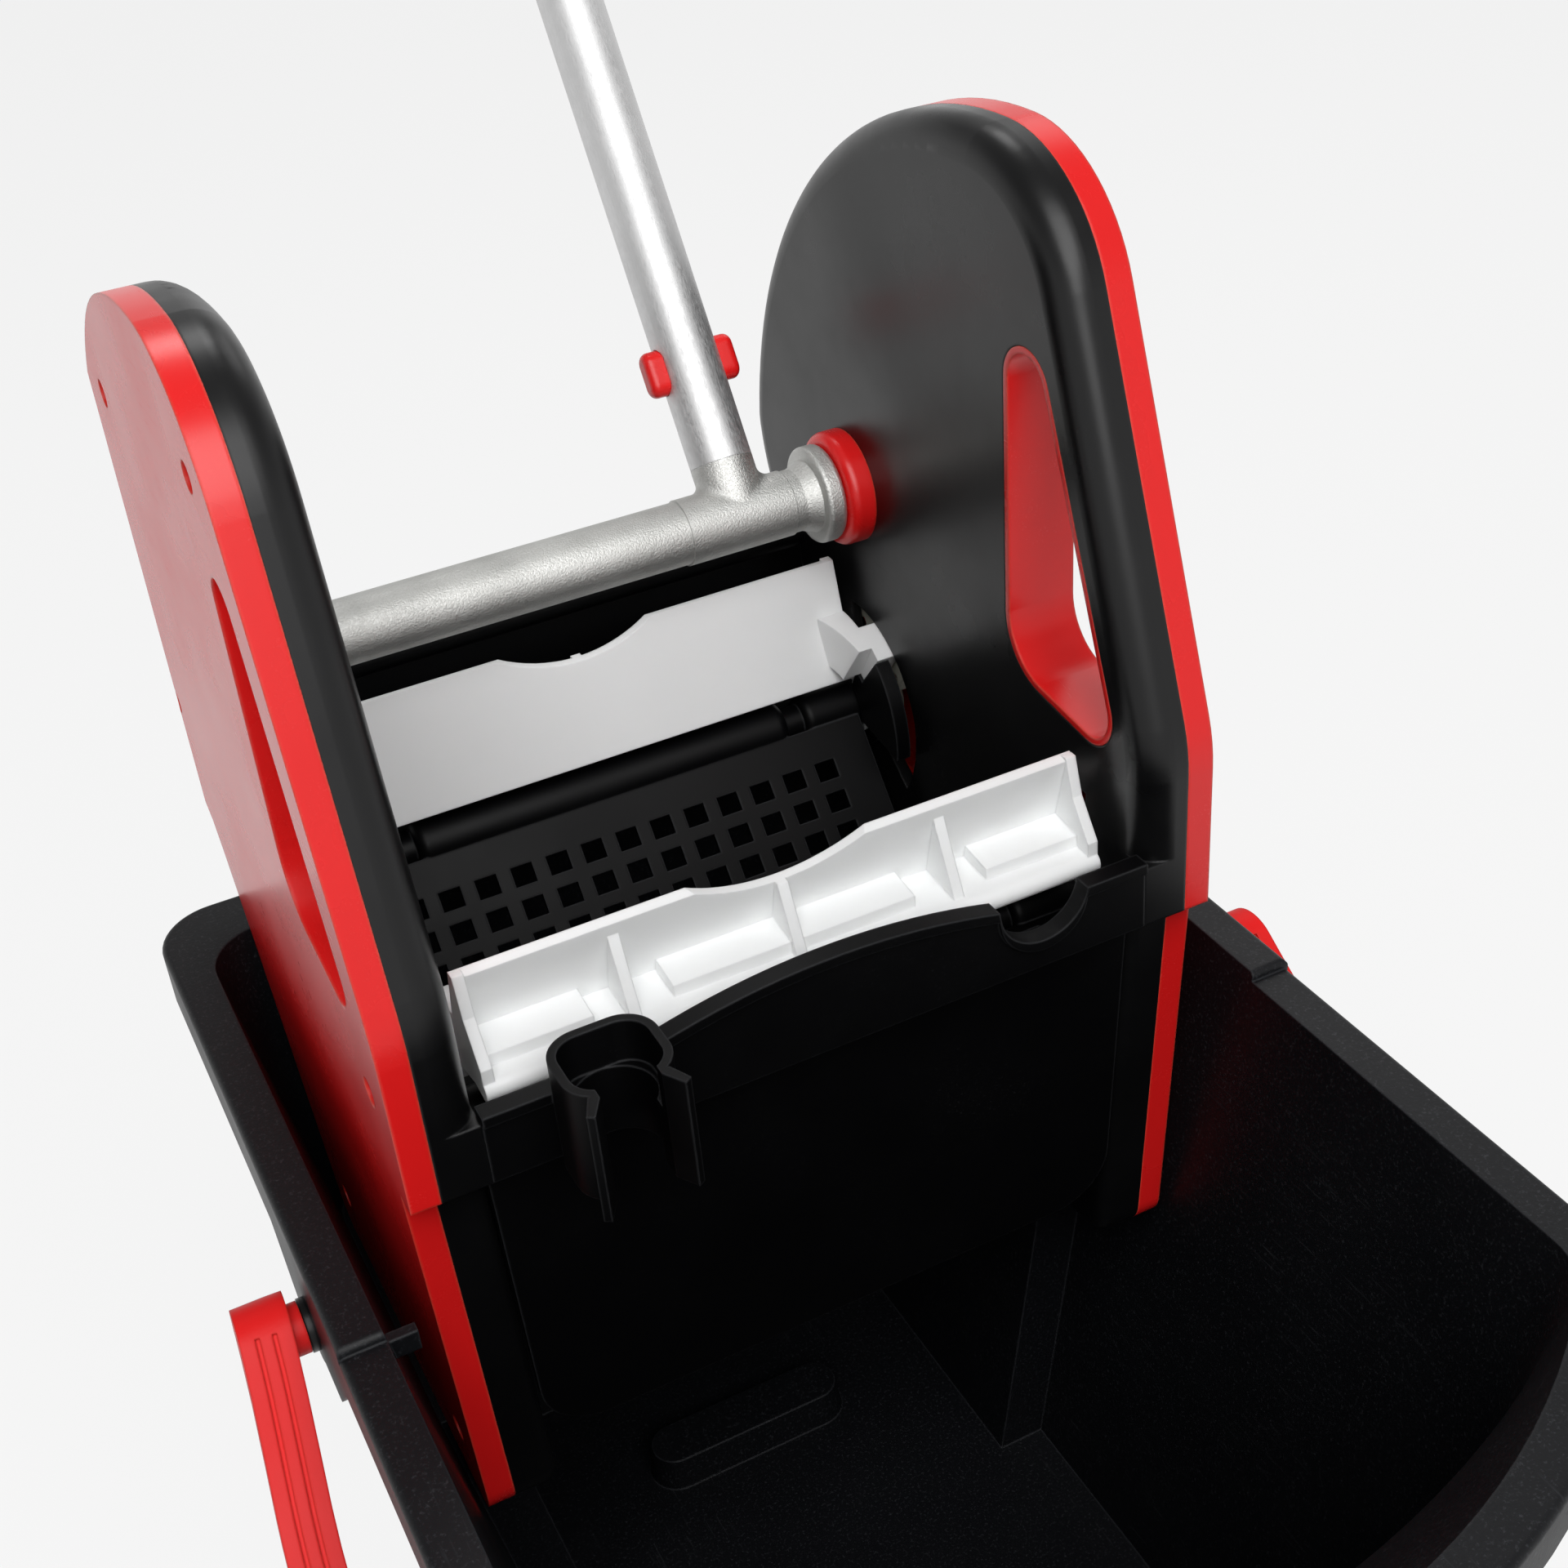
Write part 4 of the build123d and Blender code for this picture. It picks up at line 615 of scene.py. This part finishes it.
class Bench:
    """Edit-mode tools for one new mesh at a time."""

    MERGE_MM = 0.01
    EDGE_STEPS = 2
    EDGE_ANGLE = math.radians(35)
    SMOOTH_ANGLE = math.radians(40)

    @staticmethod
    def cylinder(
        name: str, radius: float, depth: float, sides: int, along: Axis = Axis.Z
    ) -> bpy.types.Object:
        """Adds a closed cylinder round the origin and leaves it in edit mode.

        Args:
            name: The piece's name.
            radius: Radius in millimetres.
            depth: Length in millimetres.
            sides: Number of sides.
            along: Axis of the cylinder, X or Z.

        Returns:
            The new object, with nothing selected.
        """
        bpy.ops.object.select_all(action="DESELECT")
        turn = (0.0, math.radians(90), 0.0) if along is Axis.X else (0.0, 0.0, 0.0)
        bpy.ops.mesh.primitive_cylinder_add(
            vertices=sides, radius=radius * MM, depth=depth * MM, rotation=turn)
        piece = bpy.context.active_object
        piece.name = name
        piece.data.name = name
        bpy.ops.object.transform_apply(location=False, rotation=True, scale=False)
        bpy.ops.object.mode_set(mode="EDIT")
        bpy.ops.mesh.select_mode(type="FACE")
        bpy.ops.mesh.select_all(action="DESELECT")
        return piece

    @staticmethod
    def pick(piece: bpy.types.Object, test: Callable[[Vector, Vector], bool]) -> None:
        """Selects the faces that pass a test, and no others.

        Args:
            piece: The object in edit mode.
            test: Gets a face's middle in millimetres and its normal.
        """
        bpy.ops.mesh.select_mode(type="FACE")
        bpy.ops.mesh.select_all(action="DESELECT")
        mesh = bmesh.from_edit_mesh(piece.data)
        for face in mesh.faces:
            if test(face.calc_center_median() / MM, face.normal):
                face.select_set(True)
        bmesh.update_edit_mesh(piece.data)

    @staticmethod
    def pick_edges(piece: bpy.types.Object, test: Callable[[Vector, Vector], bool]) -> None:
        """Selects the edges whose two ends pass a test, and no others.

        Args:
            piece: The object in edit mode.
            test: Gets the places of an edge's two ends in millimetres.
        """
        bpy.ops.mesh.select_mode(type="EDGE")
        bpy.ops.mesh.select_all(action="DESELECT")
        mesh = bmesh.from_edit_mesh(piece.data)
        found = [edge for edge in mesh.edges
                 if test(edge.verts[0].co / MM, edge.verts[1].co / MM)]
        for edge in found:
            edge.select_set(True)
        bmesh.update_edit_mesh(piece.data)

    @staticmethod
    def inset(width: float) -> None:
        """Insets the selected faces.

        Args:
            width: Width in millimetres.
        """
        bpy.ops.mesh.inset(thickness=width * MM, depth=0.0)

    @staticmethod
    def lift(height: float) -> None:
        """Extrudes the selected faces along their normals.

        Args:
            height: Height in millimetres.
        """
        bpy.ops.mesh.extrude_region_shrink_fatten(
            TRANSFORM_OT_shrink_fatten={"value": height * MM})

    @staticmethod
    def cut(places: Iterable[float], across: Axis) -> None:
        """Cuts the whole mesh by planes.

        Args:
            places: Distances of the planes from the origin in millimetres.
            across: The planes' normal.
        """
        for place in places:
            bpy.ops.mesh.select_all(action="SELECT")
            bpy.ops.mesh.bisect(plane_co=Vector(across.value) * place * MM,
                                plane_no=across.value, use_fill=False)

    @staticmethod
    def tunnel(piece: bpy.types.Object, test: Callable[[Vector, Vector], bool]) -> None:
        """Opens two facing end faces and joins their borders by a wall.

        Args:
            piece: The object in edit mode.
            test: Finds the two end faces.
        """
        Bench.pick(piece, test)
        bpy.ops.mesh.delete(type="FACE")
        bpy.ops.mesh.select_mode(type="EDGE")
        bpy.ops.mesh.select_all(action="DESELECT")
        bpy.ops.mesh.select_non_manifold(
            extend=False, use_boundary=True, use_wire=False, use_multi_face=False,
            use_non_contiguous=False, use_verts=False)
        bpy.ops.mesh.bridge_edge_loops()

    @staticmethod
    def settle(
        piece: bpy.types.Object, spot: Vector, lean: float = 0.0, edge: float = 0.0
    ) -> bpy.types.Object:
        """Leaves edit mode, rounds the edges and writes the piece's place into its mesh.

        Args:
            piece: The object in edit mode.
            spot: Its place in metres.
            lean: Turn about X in degrees.
            edge: Width of the rounded edges in millimetres, 0 for none.

        Returns:
            The finished object.
        """
        bpy.ops.mesh.select_all(action="SELECT")
        bpy.ops.mesh.remove_doubles(threshold=Bench.MERGE_MM * MM)
        bpy.ops.mesh.normals_make_consistent(inside=False)
        bpy.ops.object.mode_set(mode="OBJECT")
        if edge:
            rounding = piece.modifiers.new("rounding", "BEVEL")
            rounding.width = edge * MM
            rounding.segments = Bench.EDGE_STEPS
            rounding.limit_method = "ANGLE"
            rounding.angle_limit = Bench.EDGE_ANGLE
            bpy.ops.object.modifier_apply(modifier=rounding.name)
        piece.location = spot
        piece.rotation_euler = (math.radians(lean), 0.0, 0.0)
        bpy.ops.object.transform_apply(location=True, rotation=True, scale=True)
        bpy.ops.object.shade_smooth_by_angle(angle=Bench.SMOOTH_ANGLE)
        return piece


@dataclass
class CastorWheels:
    """Rubber tyres on ribbed hubs, and the bolts of the castor plates, in millimetres."""

    trolley: Trolley
    tyre_radius: float = 37.5
    tyre_wide: float = 22.0
    tyre_sides: int = 72
    seat_radius: float = 27.5
    seat_edge: float = 0.8
    seat_edge_steps: int = 2
    shoulder: float = 5.0
    shoulder_steps: int = 6
    shoulder_profile: float = 0.55
    tread_grooves: tuple[float, ...] = (-4.0, 4.0)
    groove_wide: float = 1.4
    groove_deep: float = 1.2
    hub_play: float = 0.05
    hub_edge: float = 0.5
    web_thick: float = 9.0
    rim_band: float = 2.2
    rim_below_tyre: float = 0.8
    boss_radius: float = 11.5
    boss_wide: float = 25.6
    bore_radius: float = 4.3
    ribs: int = 8
    sides_per_rib: int = 6
    rib_high: float = 3.6
    plate_thick: float = 3.0
    bolt_reach: float = 22.8
    bolt_radius: float = 3.8
    bolt_sides: int = 6
    collar_high: float = 1.0
    collar_wide: float = 0.3
    head_high: float = 1.8
    crown_inset: float = 0.6
    crown_high: float = 0.4
    bolt_edge: float = 0.2

    def tyre(self, name: str, spot: Vector) -> bpy.types.Object:
        """Models a tyre with rounded shoulders and two tread grooves.

        Args:
            name: The piece's name.
            spot: Middle of the wheel in metres.

        Returns:
            The tyre.
        """
        half = self.tyre_wide / 2
        piece = Bench.cylinder(name, self.tyre_radius, self.tyre_wide, self.tyre_sides, Axis.X)
        Bench.pick(piece, lambda at, way: abs(way.x) > ALONG)
        Bench.inset(self.tyre_radius - self.seat_radius)
        Bench.tunnel(piece, lambda at, way: abs(way.x) > ALONG and at.yz.length < ON_AXIS_MM)
        Bench.pick_edges(
            piece,
            lambda a, b: min(a.yz.length, b.yz.length) > self.tyre_radius - NEAR_MM
            and abs(a.x - b.x) < NEAR_MM)
        bpy.ops.mesh.bevel(offset=self.shoulder * MM, segments=self.shoulder_steps,
                           profile=self.shoulder_profile, affect="EDGES")
        groove_half = self.groove_wide / 2
        for middle in self.tread_grooves:
            Bench.cut((middle - groove_half, middle + groove_half), Axis.X)
        Bench.pick(
            piece,
            lambda at, way: at.yz.length > self.tyre_radius - self.groove_deep
            and any(abs(at.x - middle) < groove_half for middle in self.tread_grooves))
        Bench.lift(-self.groove_deep)
        Bench.pick_edges(
            piece,
            lambda a, b: max(a.yz.length, b.yz.length) < self.seat_radius + NEAR_MM
            and abs(a.x - b.x) < NEAR_MM and abs(a.x) > half - NEAR_MM)
        bpy.ops.mesh.bevel(offset=self.seat_edge * MM, segments=self.seat_edge_steps,
                           affect="EDGES")
        return Bench.settle(piece, spot)

    def hub(self, name: str, spot: Vector) -> bpy.types.Object:
        """Models a hub: thin web, rim band, ribs and a bored boss.

        Args:
            name: The piece's name.
            spot: Middle of the wheel in metres.

        Returns:
            The hub.
        """
        rim_inside = self.seat_radius - self.rim_band
        level = self.web_thick / 2
        step = 360 / self.ribs
        piece = Bench.cylinder(name, self.seat_radius - self.hub_play, self.web_thick,
                               self.sides_per_rib * self.ribs, Axis.X)
        Bench.pick(piece, lambda at, way: abs(way.x) > ALONG)
        Bench.inset(self.rim_band)
        Bench.inset(rim_inside - self.boss_radius)
        Bench.inset(self.boss_radius - self.bore_radius)
        Bench.tunnel(piece, lambda at, way: abs(way.x) > ALONG and at.yz.length < ON_AXIS_MM)
        Bench.pick(piece, lambda at, way: abs(way.x) > ALONG and at.yz.length > rim_inside)
        Bench.lift(self.tyre_wide / 2 - level - self.rim_below_tyre)
        Bench.pick(
            piece,
            lambda at, way: abs(way.x) > ALONG
            and self.bore_radius < at.yz.length < self.boss_radius)
        Bench.lift(self.boss_wide / 2 - level)
        Bench.pick(
            piece,
            lambda at, way: abs(way.x) > ALONG
            and self.boss_radius < at.yz.length < rim_inside
            and math.degrees(math.atan2(at.z, at.y)) % step < step / self.sides_per_rib)
        Bench.lift(self.rib_high)
        return Bench.settle(piece, spot, edge=self.hub_edge)

    def bolts(self, name: str, spot: Vector) -> bpy.types.Object:
        """Models four hexagon bolts with collars under a castor plate.

        Args:
            name: The piece's name.
            spot: Middle of the plate's underside in metres.

        Returns:
            The bolts as one piece.
        """
        heads = []
        for x in (-self.bolt_reach, self.bolt_reach):
            for y in (-self.bolt_reach, self.bolt_reach):
                head = Bench.cylinder(name, self.bolt_radius, self.collar_high, self.bolt_sides)
                Bench.pick(head, lambda at, way: way.z < -ALONG)
                Bench.inset(self.collar_wide)
                Bench.lift(self.head_high)
                Bench.inset(self.crown_inset)
                Bench.lift(self.crown_high)
                place = spot + Vector((x, y, -self.collar_high / 2)) * MM
                heads.append(Bench.settle(head, place, edge=self.bolt_edge))
        bpy.ops.object.select_all(action="DESELECT")
        for head in heads:
            head.select_set(True)
        bpy.context.view_layer.objects.active = heads[0]
        bpy.ops.object.join()
        heads[0].name = name
        return heads[0]

    def build(self) -> None:
        """Makes the wheels and bolts of all four castors."""
        for corner in (corner.value for corner in Corner):
            low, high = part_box(f"{corner}_castor_wheel")
            middle = (low + high) / 2
            tyre = self.tyre(f"{corner}_tyre", middle)
            hub = self.hub(f"{corner}_hub", middle)
            low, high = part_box(f"{corner}_castor_plate")
            middle = (low + high) / 2
            under = Vector((middle.x, middle.y, high.z - self.plate_thick * MM))
            bolts = self.bolts(f"{corner}_plate_bolts", under)
            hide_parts(f"{corner}_castor_wheel")
            self.trolley.add(tyre, TYRE_RUBBER, f"{corner}_wheel_body", "wheel_rubber")
            self.trolley.add(hub, BLACK_PP, f"{corner}_wheel_body", "black_plastic")
            self.trolley.add(bolts, ZINC_STEEL, "bucket_body", "steel")


@dataclass
class ButtonSpring:
    """Bent leaf behind the snap buttons, in millimetres.

    It is made as two halves, one behind each button.
    """

    trolley: Trolley
    along: float = 61.5
    reach: float = 4.7
    thick: float = 0.36
    wide: float = 5.0
    arm: float = 12.0
    bend_steps: int = 8

    def half(self, side: Side) -> bpy.types.Object:
        """Models one half: an arm behind the button and a quarter bend to the lever's axis.

        Args:
            side: The button that it pushes.

        Returns:
            The half leaf.
        """
        out = 1 if side is Side.RIGHT else -1
        bpy.ops.object.select_all(action="DESELECT")
        bpy.ops.mesh.primitive_cube_add(size=MM)
        piece = bpy.context.active_object
        piece.name = piece.data.name = f"{side.value}_spring_leaf"
        bpy.ops.object.mode_set(mode="EDIT")
        bpy.ops.mesh.select_all(action="SELECT")
        bpy.ops.transform.resize(value=(self.thick, self.wide, self.arm))
        bpy.ops.transform.translate(value=(out * self.reach * MM, 0.0, 0.0))
        Bench.pick(piece, lambda at, way: way.z < -ALONG)
        bpy.ops.mesh.spin(
            steps=self.bend_steps, angle=-out * math.radians(90),
            center=(0.0, 0.0, -self.arm / 2 * MM), axis=Axis.Y.value)
        return Bench.settle(piece, self.point(0.0), -LEVER_LEAN)

    def point(self, above: float) -> Vector:
        """Finds a point on the lever's axis.

        Args:
            above: Distance above the buttons.

        Returns:
            The point in metres.
        """
        return lever_point(self.along + above)

    def build(self) -> None:
        """Makes both halves in zinc-plated steel and hides the CAD spring."""
        for side in Side:
            leaf = self.half(side)
            leaf.data.materials.append(self.trolley.finish(ZINC_STEEL))
            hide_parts("button_spring")
            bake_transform(leaf)


@dataclass
class HandGrip:
    """Ringed grip on the top of the lever, in millimetres along the lever from its pivot."""

    trolley: Trolley
    start: float = 354.0
    straight: float = 98.0
    radius: float = 16.0
    sides: int = 56
    bore: float = 12.55
    bore_short: float = 0.2
    rings: int = 11
    first_ring: float = 13.0
    ring_step: float = 7.0
    ring_wide: float = 2.2
    ring_deep: float = 1.1
    collar: float = 6.0
    collar_high: float = 0.7
    dome_steps: int = 7
    dome_lower: float = 2.2
    dome_tip: float = 0.4
    edge: float = 0.45

    def dome(self) -> None:
        """Closes the selected end face by a flattened dome."""
        for step in range(self.dome_steps):
            low, high = (math.radians(90 * share / self.dome_steps) for share in (step, step + 1))
            wide = self.radius * (math.cos(low) - math.cos(high))
            rise = (self.radius - self.dome_lower) * (math.sin(high) - math.sin(low))
            Bench.inset(min(wide, self.radius * math.cos(low) - self.dome_tip))
            bpy.ops.transform.translate(value=(0.0, 0.0, rise * MM))

    def build(self) -> None:
        """Models the grip: collar, ring grooves, domed end and bore."""
        half = self.straight / 2
        ring_half = self.ring_wide / 2
        piece = Bench.cylinder("ringed_hand_grip", self.radius, self.straight, self.sides)
        rings = [self.first_ring + self.ring_step * i - half for i in range(self.rings)]
        Bench.cut([z + side * ring_half for z in rings for side in (-1, 1)], Axis.Z)
        Bench.pick(
            piece,
            lambda at, way: abs(way.z) < ACROSS and any(abs(at.z - z) < ring_half for z in rings))
        Bench.lift(-self.ring_deep)
        Bench.cut((self.collar - half,), Axis.Z)
        Bench.pick(piece, lambda at, way: abs(way.z) < ACROSS and at.z < self.collar - half)
        Bench.lift(self.collar_high)
        Bench.pick(piece, lambda at, way: way.z > ALONG and at.z > half - NEAR_MM)
        self.dome()
        Bench.pick(
            piece,
            lambda at, way: way.z < -ALONG and at.z < NEAR_MM - half
            and at.xy.length < ON_AXIS_MM)
        Bench.inset(self.radius + self.collar_high - self.bore)
        deep = (0.0, 0.0, (self.straight - self.bore_short) * MM)
        bpy.ops.mesh.extrude_region_move(TRANSFORM_OT_translate={"value": deep})
        Bench.settle(piece, lever_point(self.start + half), -LEVER_LEAN, edge=self.edge)
        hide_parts("lever_grip")
        self.trolley.add(piece, BLACK_PP, "lever_body", "black_plastic")


@dataclass(frozen=True)
class Softbox:
    """A rectangular soft light, in metres and watts."""

    name: str
    spot: tuple[float, float, float]
    aim: tuple[float, float, float]
    size: tuple[float, float]
    power: float
    only_mirrored: bool = False

    def build(self) -> bpy.types.Object:
        """Adds the light.

        Returns:
            The lamp.
        """
        data = bpy.data.lights.new(self.name, "AREA")
        data.shape = "RECTANGLE"
        data.size, data.size_y = self.size
        data.energy = self.power
        lamp = bpy.data.objects.new(self.name, data)
        bpy.context.scene.collection.objects.link(lamp)
        lamp.location = self.spot
        way = Vector(self.aim) - Vector(self.spot)
        lamp.rotation_euler = way.to_track_quat("-Z", "Y").to_euler()
        lamp.visible_diffuse = not self.only_mirrored
        return lamp


SOFTBOXES = (
    # Large key over the camera, for fronts and tops.
    Softbox("key_softbox", (-0.30, -1.50, 2.22), (0.0, 0.0, 0.45), (2.0, 1.6), 46.0),
    # Card in front, seen only as a sheen on rounded edges and tubes.
    Softbox("front_card", (-0.5, -2.0, 1.35), (0.0, 0.0, 0.55), (1.0, 0.7), 9.0,
            only_mirrored=True),
    # Small light from behind, for the top edges of the housings.
    Softbox("top_kicker", (0.35, 1.2, 2.4), (0.0, 0.0, 0.55), (0.6, 0.6), 8.0),
    # Fill for the rear.
    Softbox("rear_softbox", (1.7, 1.5, 2.3), (0.0, 0.0, 0.45), (1.2, 1.2), 6.0),
)


@dataclass
class Studio:
    """Pale floor, soft light and the camera of the photograph."""

    eye: tuple[float, float, float] = (-0.2257, -0.594144, 0.8930)
    right: tuple[float, float, float] = (0.88949, -0.45023, -0.07888)
    down: tuple[float, float, float] = (-0.30597, -0.45819, -0.83461)
    lens_mm: float = 48.585
    sensor_mm: float = 36.0
    view_depth: float = 100.0
    floor_size: float = 30.0
    floor_colour: str = "#F2F2F2"
    floor_glow: float = 0.965
    floor_glow_share: float = 0.88
    world_light: float = 0.16
    backdrop: float = 0.905
    ceiling: float = 0.32
    ceiling_span: tuple[float, float] = (0.08, 0.55)

    def camera(self) -> bpy.types.Object:
        """Places the camera.

        Returns:
            The camera, set as the scene's own.
        """
        right, down = Vector(self.right).normalized(), Vector(self.down).normalized()
        ahead = right.cross(down)
        data = bpy.data.cameras.new("photo_camera")
        data.sensor_width = self.sensor_mm
        data.lens = self.lens_mm
        data.clip_end = self.view_depth
        camera = bpy.data.objects.new("photo_camera", data)
        bpy.context.scene.collection.objects.link(camera)
        turn = Matrix((right, -down, -ahead)).transposed().to_4x4()
        camera.matrix_world = Matrix.Translation(self.eye) @ turn
        bpy.context.scene.camera = camera
        return camera

    def backdrop_mask(self, tree: bpy.types.NodeTree) -> bpy.types.NodeSocket:
        """Adds the test for rays that look at the backdrop itself.

        Args:
            tree: Node tree that gets the nodes.

        Returns:
            A socket that is 1 for camera, glossy and transmission rays.
        """
        path = add_node(tree, "ShaderNodeLightPath").outputs
        first = combine(tree, "MAXIMUM", path["Is Camera Ray"], path["Is Glossy Ray"])
        return combine(tree, "MAXIMUM", first, path["Is Transmission Ray"])

    def world(self) -> None:
        """Makes the world: white to look at, dimmer overhead in reflections, plain soft light."""
        world = bpy.data.worlds.new("studio_world")
        world.use_nodes = True
        tree = world.node_tree
        tree.nodes.clear()
        place = add_node(tree, "ShaderNodeTexCoord").outputs["Generated"]
        height = add_node(tree, "ShaderNodeSeparateXYZ", None, {"Vector": place}).outputs["Z"]
        mirrored = remap(tree, height, self.ceiling_span, (self.backdrop, self.ceiling),
                         "SMOOTHSTEP")
        path = add_node(tree, "ShaderNodeLightPath").outputs
        sky = remap(tree, path["Is Camera Ray"], to=(mirrored, self.backdrop))
        level = remap(tree, self.backdrop_mask(tree), to=(self.world_light, sky))
        glow = add_node(tree, "ShaderNodeBackground", None, {"Color": WHITE, "Strength": level})
        add_node(tree, "ShaderNodeOutputWorld", None, {"Surface": glow.outputs["Background"]})
        bpy.context.scene.world = world

    def floor(self) -> bpy.types.Object:
        """Adds the floor, which looks nearly white and keeps the object's shadow.

        Returns:
            The floor.
        """
        bpy.ops.object.select_all(action="DESELECT")
        bpy.ops.mesh.primitive_plane_add(size=self.floor_size, location=(0.0, 0.0, 0.0))
        floor = bpy.context.active_object
        floor.name = "studio_floor"
        material, tree = new_material("pale_studio_floor")
        share = combine(tree, "MULTIPLY", self.backdrop_mask(tree), self.floor_glow_share)
        paint = add_node(tree, "ShaderNodeBsdfDiffuse", None, {"Color": linear(self.floor_colour)})
        glow = add_node(tree, "ShaderNodeEmission", None,
                        {"Color": WHITE, "Strength": self.floor_glow})
        mixed = add_node(tree, "ShaderNodeMixShader", None,
                         {0: share, 1: paint.outputs["BSDF"], 2: glow.outputs["Emission"]})
        add_node(tree, "ShaderNodeOutputMaterial", None, {"Surface": mixed.outputs["Shader"]})
        floor.data.materials.append(material)
        return floor

    def build(self) -> None:
        """Sets up camera, floor, world and lamps."""
        bpy.context.scene.view_settings.view_transform = "Standard"
        self.camera()
        self.floor()
        self.world()
        for softbox in SOFTBOXES:
            softbox.build()


def main() -> None:
    """Loads the frame, dresses the trolley, adds detail and sets up the studio."""
    logging.basicConfig(level=logging.INFO, format="%(name)s: %(message)s")
    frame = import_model()
    trolley = Trolley(frame["nodes"])
    trolley.dress_all()
    CastorWheels(trolley).build()
    ButtonSpring(trolley).build()
    HandGrip(trolley).build()
    Studio().build()


if __name__ == "__main__":
    main()
